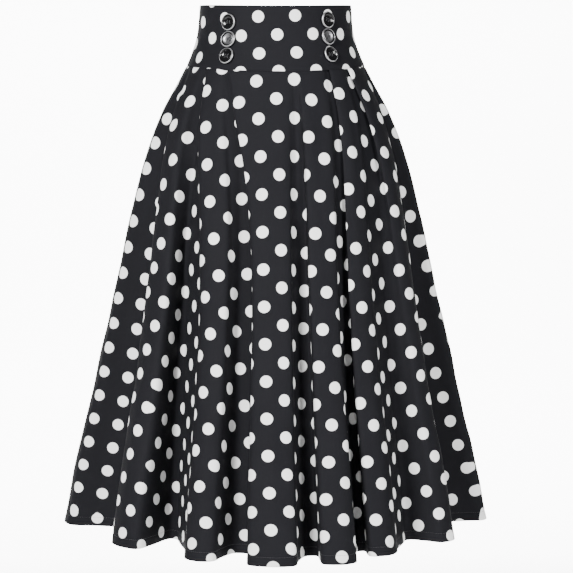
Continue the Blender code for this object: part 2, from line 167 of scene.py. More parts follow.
def change(tree, value, start, end, shape="LINEAR"):
    """0 where a value is at the start or before it, 1 from the end on, and a change between them."""
    inputs = {"Value": value, "From Min": start, "From Max": end}
    return add_node(tree, "ShaderNodeMapRange", {"interpolation_type": shape}, inputs).outputs["Result"]


def mixed(tree, share, first, second):
    """The colour between two others at a share."""
    made = add_node(tree, "ShaderNodeMix", {"data_type": "RGBA"}, {0: share})
    colours = [socket for socket in made.inputs if socket.type == "RGBA"]
    for socket, value in zip(colours, (first, second)):
        fill(tree, socket, value if isinstance(value, bpy.types.NodeSocket) else (*value, 1.0))
    return next(socket for socket in made.outputs if socket.type == "RGBA")


def set_relief(tree, shader, height, strength, distance):
    """Makes a surface catch the light as if it rose and fell with a height."""
    inputs = {"Height": height, "Strength": strength, "Distance": distance}
    relief = add_node(tree, "ShaderNodeBump", None, inputs)
    tree.links.new(relief.outputs["Normal"], shader.inputs["Normal"])


def set_ribs(tree, shader, place, direction, scale, distortion, low, crest_sheen):
    """Fine ribs that go from one colour to another and catch the light."""
    inputs = {"Vector": place, "Scale": scale, "Distortion": distortion}
    ribs = add_node(tree, "ShaderNodeTexWave", {"bands_direction": direction}, inputs).outputs["Fac"]
    tree.links.new(mixed(tree, ribs, low, crest_sheen), shader.inputs["Base Color"])
    set_relief(tree, shader, ribs, 0.4, 0.0001)


# %% [markdown]
# ## Small helpers for objects
# The cloth, the thread and the teeth are worked out below as points and faces. These helpers turn them
# into smooth objects that move with the garment, and round off hard edges, since nothing sewn or
# moulded has a sharp one.


# %% Object helpers
def linked(name, data):
    """A new object in the scene."""
    made = bpy.data.objects.new(name, data)
    bpy.context.scene.collection.objects.link(made)
    return made


def mesh_of(name, points, faces, material):
    """A smooth mesh of points and faces."""
    mesh = bpy.data.meshes.new(name)
    mesh.from_pydata(points, [], faces)
    mesh.materials.append(material)
    mesh.shade_smooth()
    return mesh


def piece_from(name, points, faces, material):
    """A smooth object made of points and faces, which moves with the garment."""
    made = linked(name, mesh_of(name, points, faces, material))
    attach(made, GARMENT)
    return made


def soften(thing, width, degrees):
    """Rounds off the edges of an object that turn by more than some degrees."""
    bevel = thing.modifiers.new("Soften", "BEVEL")
    bevel.width = width
    bevel.segments = 2
    bevel.limit_method = "ANGLE"
    bevel.angle_limit = math.radians(degrees)


# %% [markdown]
# ## The cloth's measures
# The skirt's front is about a fifth of a ring of cloth, and each half of its back is a tenth. The waist
# edge is pleated into the seam, and the hem falls into round folds. The tables give the same folds as the
# solids: an oval that the ridges reach at each height, and one row for each fold. Angles are degrees
# from the middle of the front or back.

# %% Driving sizes
BAND_HEIGHT = 0.087
BAND_DIP_AT_FRONT = 0.0065
HEM_DROP = 0.746
HEM_DIP_AT_FRONT = 0.005
BAND_CLOTH = 0.0020
SKIRT_CLOTH = 0.0009
BAND_INSET = 0.0006
SEAM_GAP = 0.00004
LAYER_PITCH = 0.0018
SIDE_SEAM_ANGLE_AT_WAIST = 84.0
SIDE_SEAM_ANGLE_AT_HEM = 91.0

Level = namedtuple("Level", "drop half_width front_depth back_depth")
ENVELOPE = [
    Level(0.000, 0.1085, 0.1030, 0.1030),
    Level(0.046, 0.1135, 0.1080, 0.1085),
    Level(0.078, 0.1247, 0.1165, 0.1190),
    Level(0.107, 0.1390, 0.1250, 0.1340),
    Level(0.150, 0.1624, 0.1390, 0.1560),
    Level(0.215, 0.1875, 0.1590, 0.1800),
    Level(0.289, 0.2070, 0.1810, 0.2010),
    Level(0.389, 0.2288, 0.2100, 0.2260),
    Level(0.534, 0.2610, 0.2520, 0.2610),
    Level(0.681, 0.2955, 0.2970, 0.3000),
    Level(0.751, 0.3095, 0.3180, 0.3160),
]

# %% Folds
Fold = namedtuple(
    "Fold",
    "edge underlay valley_near valley_far valley_depth crest_near crest_far crest_depth ease",
)
FRONT = [
    Fold(-72.0, 0.0, -73.5, -69.0, 0.096, -57.8, -46.0, 0.023, 3.6),
    Fold(-50.3, 9.4, -50.5, -45.5, 0.114, -27.8, -19.8, 0.016, 3.6),
    Fold(-33.3, 9.4, -17.3, -11.8, 0.084, -9.6, 2.5, 0.002, 6.0),
    Fold(10.0, 0.0, 6.7, 10.7, 0.068, 9.9, 18.8, 0.003, 3.6),
    Fold(33.3, 9.4, 24.3, 27.6, 0.070, 25.4, 34.5, 0.026, 3.6),
    Fold(50.3, 9.4, 46.5, 50.8, 0.076, 52.5, 60.5, 0.020, 3.6),
    Fold(74.0, 0.0, 75.0, 79.5, 0.068, 83.5, 89.5, 0.000, 3.6),
]
BACK_RIGHT = [
    Fold(31.0, 9.4, 12.0, 16.5, 0.092, 19.5, 30.0, 0.010, 3.6),
    Fold(48.5, 9.4, 42.0, 46.5, 0.098, 45.5, 55.5, 0.014, 3.6),
    Fold(68.0, 0.0, 65.5, 70.0, 0.090, 75.0, 80.5, 0.004, 3.6),
]
BACK_LEFT = [
    Fold(31.0, 9.4, 14.0, 18.5, 0.098, 21.0, 32.0, 0.014, 3.6),
    Fold(48.5, 9.4, 44.5, 49.0, 0.094, 48.5, 57.5, 0.010, 3.6),
    Fold(68.0, 0.0, 66.5, 70.5, 0.086, 75.0, 80.5, 0.004, 3.6),
]

Line = namedtuple("Line", "underlay_share pleat_degrees soft_degrees layers columns")
FOLD_LINES = (
    Line(0.0, -5.40, -5.40, 0.0, 5),
    Line(0.0, -1.30, -3.30, 2.0, 6),
    Line(1.0, -0.45, -2.05, 2.0, 3),
    Line(1.0, 0.00, -0.60, 1.5, 3),
    Line(1.0, -0.45, 0.45, 1.0, 4),
    Line(0.5, 0.00, 1.20, 1.0, 5),
    Line(0.0, 0.40, 2.00, 1.0, 4),
    Line(0.0, 0.00, 3.40, 0.5, 3),
    Line(0.0, 0.40, 5.40, 0.0, 5),
)
PLAIN_EASE = 3.6
SLOPE_TURN = 0.3
RISER_TURN = 0.3
SHOULDER_DEPTH = 0.008
CREST_TOP = (-1.0, 1.5)
WIDEST_COLUMN = 1.6
Ridge = namedtuple("Ridge", "far depth")
RIDGE_AT_SIDE = Ridge(-82.5, 0.000)
RIDGE_AT_BACK = Ridge(7.0, 0.002)
SIDE_RIDGE_TOP = (-81.0, -86.5)
BACK_CREST_HALF_ANGLE = 5.5
CREST_COLUMNS = 7
SIDE_COLUMNS = 4
print("folds:", sum(len(folds) for folds in (FRONT, BACK_LEFT, BACK_RIGHT)))

# %% [markdown]
# ## From the tables to the cloth
# Each level of the skirt is one closed curve round the body. The lines of the folds cross it at known
# angles and depths, and a spline runs through them. Its centripetal form keeps sharp turns, such as a
# pleat's edge, from looping over themselves.


# %% The oval
def eased(drop):
    """The oval's half width and its depths to the front and the back at a drop, on a smooth curve."""
    drops = np.array([row.drop for row in ENVELOPE])
    sizes = np.array([row[1:] for row in ENVELOPE])
    steps = np.diff(drops)[:, None]
    slopes = np.diff(sizes, axis=0) / steps
    rates = np.vstack([slopes[:1], (slopes[1:] + slopes[:-1]) / 2, slopes[-1:]])
    drop = np.clip(np.asarray(drop, float), drops[0], drops[-1])
    at = np.clip(np.searchsorted(drops, drop) - 1, 0, len(steps) - 1)
    step = steps[at]
    part = (drop - drops[at])[..., None] / step
    low = 1 + part**2 * (2 * part - 3)
    bend = step * part * (1 - part) * (rates[at] * (1 - part) - rates[at + 1] * part)
    return sizes[at] * low + sizes[at + 1] * (1 - low) + bend


def on_oval(angle, drop, inset):
    """Points on the oval at angles in radians from the middle of the front, drawn in by an inset."""
    sizes = eased(drop) - np.asarray(inset)[..., None]
    depth = np.where(np.cos(angle) > 0, sizes[..., 1], sizes[..., 2])
    x, y = sizes[..., 0] * np.sin(angle), -depth * np.cos(angle)
    return np.stack([x, y, np.broadcast_to(-np.asarray(drop, float), x.shape)], axis=-1)


def band_bottom(angle):
    """The drop of the waist seam at angles in radians: it dips a little at the middle of the front."""
    return BAND_HEIGHT + BAND_DIP_AT_FRONT * np.maximum(np.cos(angle), 0) ** 2


# %% The lines of the folds
def fold_knots(folds, ridge):
    """Lines down the cloth as rows: waist angle and inset, hem angle and inset, ease, columns after it."""
    rows = []
    previous = ridge
    for fold in folds:
        layer = LAYER_PITCH if fold.underlay else 0.0
        waist = []
        for line in FOLD_LINES:
            degrees = line.pleat_degrees if fold.underlay else line.soft_degrees
            waist.append((fold.edge + line.underlay_share * fold.underlay + degrees, line.layers * layer))
        valley_middle = (fold.valley_near + fold.valley_far) / 2
        crest_middle = (fold.crest_near + fold.crest_far) / 2
        slope_angle = previous.far + SLOPE_TURN * (fold.valley_near - previous.far)
        riser_angle = fold.crest_near + RISER_TURN * (fold.valley_far - fold.crest_near)
        hem = (
            (previous.far, previous.depth + SHOULDER_DEPTH),
            (slope_angle, (previous.depth + fold.valley_depth) / 2),
            (fold.valley_near, fold.valley_depth - SHOULDER_DEPTH / 2),
            (valley_middle, fold.valley_depth),
            (fold.valley_far, fold.valley_depth - SHOULDER_DEPTH / 2),
            (riser_angle, (fold.crest_depth + fold.valley_depth) / 2),
            (fold.crest_near, fold.crest_depth + SHOULDER_DEPTH),
            (crest_middle + CREST_TOP[0], fold.crest_depth),
            (crest_middle + CREST_TOP[1], fold.crest_depth),
        )
        rows += [w + h + (fold.ease, line.columns) for w, h, line in zip(waist, hem, FOLD_LINES)]
        previous = Ridge(fold.crest_far, fold.crest_depth)
    return rows


def plain_knot(waist_angle, hem_angle, columns):
    """A line down the cloth that stays on the oval."""
    return (waist_angle, 0.0, hem_angle, 0.0, PLAIN_EASE, columns)


def turned(rows, sign, base):
    """The same lines measured from the middle of the front, at a base angle, on one side of it."""
    return [(base + sign * w, wi, base + sign * h, hi, ease, n) for w, wi, h, hi, ease, n in rows]


def backwards(rows):
    """The same lines in the other order, so each keeps the columns of the stretch after it."""
    columns = [CREST_COLUMNS] + [row[5] for row in rows[:-1]]
    return [row[:5] + (n,) for row, n in zip(rows[::-1], columns[::-1])]


def all_knots():
    """Every line down the cloth, from the middle of the back by the left, the front and the right."""
    half = BACK_CREST_HALF_ANGLE
    seam_waist, seam_hem = SIDE_SEAM_ANGLE_AT_WAIST, SIDE_SEAM_ANGLE_AT_HEM
    knots = [plain_knot(angle, angle, CREST_COLUMNS) for angle in (-180.0, half - 180.0)]
    knots += turned(fold_knots(BACK_LEFT, RIDGE_AT_BACK), 1, -180.0)
    seams = [len(knots)]
    knots.append(plain_knot(-seam_waist, -seam_hem, SIDE_COLUMNS))
    knots.append(plain_knot(*SIDE_RIDGE_TOP, SIDE_COLUMNS))
    knots += fold_knots(FRONT, RIDGE_AT_SIDE)
    seams.append(len(knots))
    knots.append(plain_knot(seam_waist, seam_hem, CREST_COLUMNS))
    knots += turned(backwards(fold_knots(BACK_RIGHT, RIDGE_AT_BACK)), -1, 180.0)
    knots += [plain_knot(180.0 - half, 180.0 - half, CREST_COLUMNS), plain_knot(180.0, 180.0, 1)]
    knots = np.array(knots)
    wide = np.ceil(np.diff(knots[:, 0]) / WIDEST_COLUMN)
    knots[:-1, 5] = np.maximum(knots[:-1, 5], wide)
    return knots, seams


KNOTS, SIDE_SEAMS = all_knots()
COLUMNS_OF_KNOTS = KNOTS[:-1, 5].astype(int)
KNOT_STARTS = np.concatenate([[0], np.cumsum(COLUMNS_OF_KNOTS)])
print("fold lines:", len(KNOTS), "columns of cloth:", KNOT_STARTS[-1])


# %% One spline round each level
def skirt_grid(shares):
    """The middle of the cloth as levels x columns x 3. Shares run from 0 at the seam to 1 at the hem."""
    share = np.asarray(shares)[:, None]
    turn = 1 - (1 - share) ** KNOTS[:, 4]
    angles = KNOTS[:, 0] + (KNOTS[:, 2] - KNOTS[:, 0]) * turn
    insets = KNOTS[:, 1] + (KNOTS[:, 3] - KNOTS[:, 1]) * share
    radius = eased(BAND_HEIGHT + share[:, 0] * (HEM_DROP - BAND_HEIGHT)).mean(axis=1)[:, None]
    flat = np.stack([np.radians(angles) * radius, insets], axis=-1)
    lap = np.stack([2 * math.pi * radius, 0 * radius], axis=-1)
    around = np.concatenate([flat[:, -2:-1] - lap, flat, flat[:, 1:2] + lap], axis=1)
    columns = []
    for i, count in enumerate(COLUMNS_OF_KNOTS):
        a, b, c, d = (around[:, i + k] for k in range(4))
        t = [np.zeros((len(share), 1))]
        for p, q in ((a, b), (b, c), (c, d)):
            gap = np.maximum(np.linalg.norm(q - p, axis=1, keepdims=True), 1e-6)
            t.append(t[-1] + gap**0.5)
        for k in range(count):
            x = t[1] + (t[2] - t[1]) * k / count
            ab = (a * (t[1] - x) + b * (x - t[0])) / (t[1] - t[0])
            bc = (b * (t[2] - x) + c * (x - t[1])) / (t[2] - t[1])
            cd = (c * (t[3] - x) + d * (x - t[2])) / (t[3] - t[2])
            abc = (ab * (t[2] - x) + bc * (x - t[0])) / (t[2] - t[0])
            bcd = (bc * (t[3] - x) + cd * (x - t[1])) / (t[3] - t[1])
            columns.append((abc * (t[2] - x) + bcd * (x - t[1])) / (t[2] - t[1]))
    columns.append(flat[:, -1])
    points = np.stack(columns, axis=1)
    angle = points[..., 0] / radius
    top = band_bottom(angle) + SEAM_GAP
    hem = HEM_DROP + HEM_DIP_AT_FRONT * np.maximum(np.cos(angle), 0)
    return on_oval(angle, top + share * (hem - top), points[..., 1])


# %% [markdown]
# ## Creases
# Real cloth is never as even as a formula. Soft troughs and ridges run down from the pleats and across
# the band where it bends. Each is given one by one: it has two ends, a width and a depth, and it fades
# out towards its ends. The cloth is moved straight outwards or inwards, so that the layers of a pleat
# move together and never cut through each other.

# %% Crease tables
Crease = namedtuple("Crease", "angle_from drop_from angle_to drop_to half_width depth")
SKIRT_CREASES = [
    Crease(-17, 0.10, -14, 0.30, 0.010, -0.0012),
    Crease(-5, 0.14, -7, 0.42, 0.014, 0.0010),
    Crease(6, 0.11, 5, 0.33, 0.009, -0.0013),
    Crease(17, 0.12, 12, 0.36, 0.010, 0.0012),
    Crease(25, 0.10, 20, 0.24, 0.008, -0.0010),
    Crease(41, 0.12, 33, 0.34, 0.010, 0.0014),
    Crease(46, 0.10, 41, 0.26, 0.007, -0.0012),
    Crease(64, 0.12, 58, 0.40, 0.012, 0.0016),
    Crease(78, 0.11, 74, 0.30, 0.010, -0.0014),
    Crease(-28, 0.11, -22, 0.26, 0.008, 0.0012),
    Crease(-40, 0.10, -35, 0.33, 0.010, -0.0013),
    Crease(-47, 0.14, -42, 0.36, 0.009, 0.0010),
    Crease(-60, 0.10, -55, 0.28, 0.010, 0.0015),
    Crease(-68, 0.13, -62, 0.42, 0.012, -0.0014),
    Crease(-80, 0.11, -78, 0.31, 0.010, 0.0012),
    Crease(100, 0.12, 104, 0.36, 0.012, -0.0013),
    Crease(118, 0.10, 122, 0.27, 0.009, 0.0013),
    Crease(141, 0.12, 147, 0.38, 0.011, -0.0014),
    Crease(160, 0.11, 163, 0.31, 0.010, 0.0012),
    Crease(-98, 0.11, -103, 0.33, 0.011, 0.0013),
    Crease(-121, 0.12, -126, 0.30, 0.010, -0.0012),
    Crease(-143, 0.10, -148, 0.40, 0.012, 0.0014),
    Crease(-165, 0.12, -167, 0.28, 0.009, -0.0010),
    Crease(-20, 0.46, -24, 0.68, 0.016, 0.0014),
    Crease(14, 0.50, 13, 0.72, 0.014, -0.0012),
    Crease(-52, 0.44, -50, 0.70, 0.016, 0.0015),
    Crease(56, 0.42, 54, 0.66, 0.015, -0.0014),
    Crease(86, 0.40, 87, 0.62, 0.018, 0.0014),
    Crease(-86, 0.38, -87, 0.60, 0.018, -0.0012),
    Crease(152, 0.45, 155, 0.70, 0.016, 0.0014),
    Crease(-150, 0.42, -153, 0.66, 0.016, -0.0014),
]
BAND_CREASES = [
    Crease(-30, 0.0600, 4, 0.0640, 0.0040, -0.00035),
    Crease(8, 0.0670, 34, 0.0600, 0.0035, -0.00045),
    Crease(42, 0.0545, 66, 0.0500, 0.0035, -0.00050),
    Crease(-70, 0.0480, -44, 0.0550, 0.0035, -0.00055),
    Crease(-24, 0.0350, 12, 0.0330, 0.0050, -0.00025),
    Crease(50, 0.0300, 80, 0.0340, 0.0045, -0.00040),
    Crease(-84, 0.0300, -56, 0.0260, 0.0040, -0.00040),
    Crease(96, 0.0500, 130, 0.0560, 0.0040, -0.00055),
    Crease(120, 0.0320, 158, 0.0350, 0.0045, -0.00040),
    Crease(-132, 0.0560, -98, 0.0500, 0.0040, -0.00055),
    Crease(-160, 0.0360, -124, 0.0320, 0.0045, -0.00040),
]
CREASE_FADE = 1.5
SWAY_WAVES = 9
SWAY_LENGTHS = (0.05, 0.16)
SWAY_LEANING = (1.0, 1.0, 0.55)
SKIRT_SWAY = 0.0010
SKIRT_SWAY_SEED = 4
SWAY_FROM_SHARE = 0.02
SWAY_GROWS_OVER = 0.6
BAND_SWAY = 0.00025
BAND_SWAY_SEED = 9
print("creases:", len(SKIRT_CREASES), "on the skirt,", len(BAND_CREASES), "on the band")


def crease_relief(points, creases):
    """How far each point of a grid is moved outwards by the creases."""
    angle = np.arctan2(points[..., 0], -points[..., 1])
    drop = -points[..., 2]
    reach = np.hypot(points[..., 0], points[..., 1])
    relief = np.zeros(angle.shape)
    for crease in creases:
        a = np.radians(crease.angle_from)
        b = np.radians(crease.angle_to)
        middle = (a + b) / 2
        x = (np.mod(angle - middle + np.pi, 2 * np.pi) - np.pi) * reach
        run_x, run_y = (b - a) * reach, crease.drop_to - crease.drop_from
        start_x = (a - middle) * reach
        length = np.hypot(run_x, run_y)
        along = ((x - start_x) * run_x + (drop - crease.drop_from) * run_y) / length**2
        off = ((x - start_x) * run_y - (drop - crease.drop_from) * run_x) / length
        fade = np.sin(np.pi * np.clip(along, 0, 1)) ** CREASE_FADE
        relief += crease.depth * fade * np.exp(-((off / crease.half_width) ** 2))
    return relief


def sway_relief(points, seed, amount):
    """A gentle unevenness all over the cloth, from a few long waves with fixed random directions."""
    draw = np.random.default_rng(seed)
    relief = np.zeros(points.shape[:-1])
    for _ in range(SWAY_WAVES):
        direction = draw.normal(size=3) * SWAY_LEANING
        direction *= 2 * math.pi / draw.uniform(*SWAY_LENGTHS) / np.linalg.norm(direction)
        relief += np.sin(points @ direction + draw.uniform(0, 6.28))
    return relief * amount / math.sqrt(SWAY_WAVES)


def skirt_sway(points, shares):
    """The skirt's unevenness, which grows from the waist seam down."""
    grown = np.clip((shares - SWAY_FROM_SHARE) / SWAY_GROWS_OVER, 0, 1)
    return sway_relief(points, SKIRT_SWAY_SEED, SKIRT_SWAY) * grown


def moved_out(points, relief):
    """The grid with each point moved level and straight away from the body by its relief."""
    out = points[..., :2] / np.linalg.norm(points[..., :2], axis=-1, keepdims=True)
    moved = points.copy()
    moved[..., :2] += out * relief[..., None]
    return moved


# %% [markdown]
# ## Where each bit of cloth lay on the cutting table
# The dots are printed on flat cloth, so their pattern has to be worked out on the flat piece and not on
# the hanging one. A grid point's flat place is found by measuring: how far round it is from the middle
# of the piece, and how far down from the seam. The skirt's pieces are parts of a ring, so the two lengths
# become an angle and a radius.

# %% Lengths on the hanging cloth
EVENED_COLUMNS = 15


def lengths_across(grid, zero_at):
    """The length along each level from where it crosses the zero column or the plane x = 0."""
    steps = np.linalg.norm(np.diff(grid, axis=1), axis=-1)
    across = np.concatenate([np.zeros((len(grid), 1)), np.cumsum(steps, axis=1)], axis=1)
    if zero_at == "start":
        return across
    if zero_at == "end":
        return across - across[:, -1:]
    middle = [np.interp(0.0, row[:, 0], length) for row, length in zip(grid, across)]
    return across - np.array(middle)[:, None]


def lengths_down(grid):
    """The length down the cloth from its first level, square to the levels, evened out sideways."""
    along = np.gradient(grid, axis=1)
    along /= np.linalg.norm(along, axis=-1, keepdims=True)
    step = np.diff(grid, axis=0)
    level = (along[1:] + along[:-1]) / 2
    square = step - level * (step * level).sum(axis=-1, keepdims=True)
    lengths = np.cumsum(np.linalg.norm(square, axis=-1), axis=0)
    down = np.concatenate([np.zeros((1, grid.shape[1])), lengths])
    window = np.hanning(EVENED_COLUMNS)
    window /= window.sum()
    beyond = EVENED_COLUMNS // 2
    padded = np.pad(down, ((0, 0), (beyond, beyond)), mode="edge")
    return np.stack([np.convolve(row, window, "valid") for row in padded])


# %% [markdown]
# ## Springs that settle the flat piece
# Where the cloth slants into a fold, measuring alone would pull the dots out of shape. So the flat piece
# is relaxed: every small square is joined by springs as long as its sides and diagonals are on the
# hanging cloth, and the springs settle in a few hundred steps. A square that they turn over is smoothed
# out by its neighbours. The result is kept on the mesh as an attribute that the material reads.

# %% Flat coordinates
SKIRT_RING_RADIUS = 0.400
BAND_RING_RADIUS = 1.600
SPRING_STEP = 0.11
SPRING_MOMENTUM = 0.93
SKIRT_ROUNDS = 420
BAND_ROUNDS = 60
UNTANGLE_ROUNDS = 60
UNTANGLE_REACH = 2


def relaxed(flat, grid, rounds):
    """Settles a flat piece so that its small squares keep the sizes they have on the hanging cloth."""
    kept, left_out, right_out = slice(None), slice(1, None), slice(None, -1)
    pairs = (
        ((kept, right_out), (kept, left_out)),
        ((right_out, kept), (left_out, kept)),
        ((right_out, right_out), (left_out, left_out)),
        ((right_out, left_out), (left_out, right_out)),
    )
    lengths = [np.linalg.norm(grid[b] - grid[a], axis=-1) for a, b in pairs]
    speed = np.zeros_like(flat)
    for _ in range(rounds):
        push = np.zeros_like(flat)
        for (a, b), length in zip(pairs, lengths):
            gap = flat[b] - flat[a]
            now = np.maximum(np.sqrt((gap**2).sum(axis=-1)), 1e-7)
            pull = gap * (1 - length / now)[..., None]
            push[a] += pull
            push[b] -= pull
        speed = SPRING_MOMENTUM * speed + SPRING_STEP * push
        flat = flat + speed
    return flat


def untangled(flat, grid):
    """Smooths a flat piece wherever the springs have turned one of its small squares over."""
    along = 1 / np.maximum(np.linalg.norm(np.diff(grid, axis=1), axis=-1), 1e-5)[..., None]
    down = 1 / np.maximum(np.linalg.norm(np.diff(grid, axis=0), axis=-1), 1e-5)[..., None]
    total = np.zeros(flat.shape[:2] + (1,))
    total[:, 1:] += along
    total[:, :-1] += along
    total[1:] += down
    total[:-1] += down
    for _ in range(UNTANGLE_ROUNDS):
        right = flat[:-1, 1:] - flat[:-1, :-1]
        below = flat[1:, :-1] - flat[:-1, :-1]
        area = right[..., 0] * below[..., 1] - right[..., 1] * below[..., 0]
        over = area * np.sign(np.median(area)) <= 0
        near = np.zeros(flat.shape[:2], bool)
        for row, column in ((0, 0), (0, 1), (1, 0), (1, 1)):
            near[row : row + len(over), column : column + over.shape[1]] |= over
        for _ in range(UNTANGLE_REACH):
            near[:, 1:] |= near[:, :-1].copy()
            near[:, :-1] |= near[:, 1:].copy()
            near[1:] |= near[:-1].copy()
            near[:-1] |= near[1:].copy()
        near[:, (0, -1)] = False
        mean = np.zeros_like(flat)
        mean[:, 1:] += flat[:, :-1] * along
        mean[:, :-1] += flat[:, 1:] * along
        mean[1:] += flat[:-1] * down
        mean[:-1] += flat[1:] * down
        flat = np.where(near[..., None], mean / total, flat)
    return flat


def set_upright(flat, grid, zero_at):
    """Turns and moves a flat piece so that its straight-grain line runs down from the origin."""
    if zero_at == "middle":
        line = np.array([[np.interp(0.0, g[:, 0], f[:, k]) for k in (0, 1)] for g, f in zip(grid, flat)])
    else:
        line = flat[:, 0 if zero_at == "start" else -1]
    run = line[-1] - line[0]
    run /= np.linalg.norm(run)
    moved = flat - line[0]
    return np.stack([moved @ (run[1], -run[0]), moved @ run], axis=-1)


def flat_places(grid, zero_at, ring_radius, rounds):
    """Each grid point's place on the flat piece, and its length down from the first level."""
    across, down = lengths_across(grid, zero_at), lengths_down(grid)
    radius = ring_radius + down
    angle = across / radius
    flat = np.stack([radius * np.sin(angle), radius * np.cos(angle) - ring_radius], axis=-1)
    flat = set_upright(untangled(relaxed(flat, grid, rounds), grid), grid, zero_at)
    return np.concatenate([flat, down[..., None]], axis=-1)


# %% [markdown]
# ## Thin cloth from a grid
# Cloth has two faces and soft edges. The grid gives the middle of the cloth, and the faces lie half a
# thickness to each side of it, along the normals. Round the free edges the section is rounded off
# with two more rows, as a turned edge is.


# %% Cloth shells
def grid_normals(grid):
    """Unit normals of a grid, pointing out of the garment."""
    down = np.gradient(grid, axis=0)
    along = np.gradient(grid, axis=1)
    normals = np.cross(down, along)
    return normals / np.linalg.norm(normals, axis=-1, keepdims=True)


EDGE_ROUNDING = ((0.72, 0.35), (0.30, 0.62))


def cloth_shell(name, grid, outer, inner, flat, material):
    """A closed cloth piece. outer and inner are each face's distance from the grid. Top is first row."""
    normals = grid_normals(grid)

    def round_edge(at, beside):
        away = grid[at] - grid[beside]
        away /= np.linalg.norm(away, axis=-1, keepdims=True)
        half = (outer[at] + inner[at])[:, None] / 2
        middle = grid[at] + normals[at] * ((outer[at] - inner[at])[:, None] / 2)
        edge = [(middle + (normals[at] * k + away * reach) * half) for k, reach in EDGE_ROUNDING]
        edge += [(middle + (away * reach - normals[at] * k) * half) for k, reach in EDGE_ROUNDING[::-1]]
        return edge

    top_edge, bottom_edge = round_edge(0, 1), round_edge(-1, -2)
    face = grid + normals * outer[..., None]
    back = (grid - normals * inner[..., None])[::-1]
    points = np.concatenate([top_edge[1::-1], face, bottom_edge, back, top_edge[:1:-1]])
    levels = list(range(len(grid)))
    at_levels = [0, 0] + levels + [-1] * 4 + levels[::-1] + [0, 0]
    count, columns = points.shape[:2]
    inside = np.zeros((count, columns))
    inside[len(grid) + 6 : -2] = 1.0
    index = np.arange(count * columns).reshape(count, columns)
    below = np.roll(index, -1, axis=0)
    quads = np.stack([index[:, :-1], below[:, :-1], below[:, 1:], index[:, 1:]], axis=-1).reshape(-1, 4)
    faces = quads.tolist()
    half = count // 2
    for column, turn in ((0, 1), (columns - 1, -1)):
        ring = index[:, column].tolist()
        for k in range(half - 1):
            faces.append([ring[k], ring[count - 1 - k], ring[count - 2 - k], ring[k + 1]][::turn])
    made = piece_from(name, points.reshape(-1, 3).tolist(), faces, material)
    on_mesh = made.data.attributes
    on_flat = flat[at_levels].astype(np.float32).ravel()
    on_mesh.new("flat", "FLOAT_VECTOR", "POINT").data.foreach_set("vector", on_flat)
    on_mesh.new("inside", "FLOAT", "POINT").data.foreach_set("value", inside.astype(np.float32).ravel())
    print(name, "triangles:", 2 * len(quads) + 4 * (half - 1))
    return made


# %% [markdown]
# ## Black cotton with printed dots
# The cloth is a fine matt cotton. Its ground is dyed black, and round off-white dots lie on it in a
# staggered pattern: each row is moved along by half the distance between dots. Such a pattern needs no
# picture. The flat place is wrapped into one repeat, and the distance to the repeat's middle tells
# whether the point lies in a dot. Two such grids, half a repeat apart, make the staggered rows. The
# relief is a weave of crossing threads with some thicker ones, and the inside of the cloth is duller.

# %% Cotton
DOT_RADIUS = 0.0085
DOT_PITCH_ACROSS = 0.0525
DOT_PITCH_DOWN = 0.0525
DOT_EDGE = 0.0004
DOT_FUZZ = 0.0007
THREAD_PITCH = 0.00032
BLACK_DYE = (0.0066, 0.0066, 0.0082)
WORN_DYE = (0.0092, 0.0092, 0.0112)
INSIDE_DYE = (0.030, 0.030, 0.034)
DOT_INK = (0.90, 0.90, 0.89)
DOT_INK_THIN = (0.81, 0.81, 0.80)
INSIDE_DOT = (0.16, 0.16, 0.16)


def dot_mask(tree, flat):
    """1 inside a printed dot and 0 outside it."""
    half = (DOT_PITCH_ACROSS / 2, DOT_PITCH_DOWN / 2, 1.0)
    low = tuple(-v for v in half)
    distances = []
    for shift in ((0.0, 0.0, 0.0), (half[0], half[1], 0.0)):
        place = vector_node(tree, "ADD", {0: flat, 1: shift}).outputs["Vector"]
        level = vector_node(tree, "MULTIPLY", {0: place, 1: (1.0, 1.0, 0.0)}).outputs["Vector"]
        wrapped = vector_node(tree, "WRAP", {0: level, 1: half, 2: low}).outputs["Vector"]
        distances.append(vector_node(tree, "LENGTH", {0: wrapped}).outputs["Value"])
    nearest = math_node(tree, "MINIMUM", distances[0], distances[1])
    uneven = math_node(tree, "MULTIPLY_ADD", clouds(tree, flat, 1400.0, 1.0), DOT_FUZZ, -DOT_FUZZ / 2)
    distance = math_node(tree, "ADD", nearest, uneven)
    return change(tree, distance, DOT_RADIUS + DOT_EDGE, DOT_RADIUS - DOT_EDGE, "SMOOTHSTEP")


def weave_height(tree, flat, pitch):
    """The height of a plain weave, with some threads thicker than others."""
    turns = math.pi / pitch
    stretched = vector_node(tree, "SCALE", {0: flat, "Scale": turns}).outputs["Vector"]
    parts = add_node(tree, "ShaderNodeSeparateXYZ", None, {"Vector": stretched})
    warp = math_node(tree, "SINE", parts.outputs["X"])
    weft = math_node(tree, "SINE", parts.outputs["Y"])
    over = math_node(tree, "MULTIPLY", warp, weft)
    slubs = []
    for stretch in ((900.0, 90.0, 1.0), (90.0, 900.0, 1.0)):
        place = vector_node(tree, "MULTIPLY", {0: flat, 1: stretch}).outputs["Vector"]
        slubs.append(clouds(tree, place, 1.0, 2.0))
    thick = math_node(tree, "ADD", slubs[0], slubs[1])
    return math_node(tree, "MULTIPLY_ADD", over, 0.35, thick)


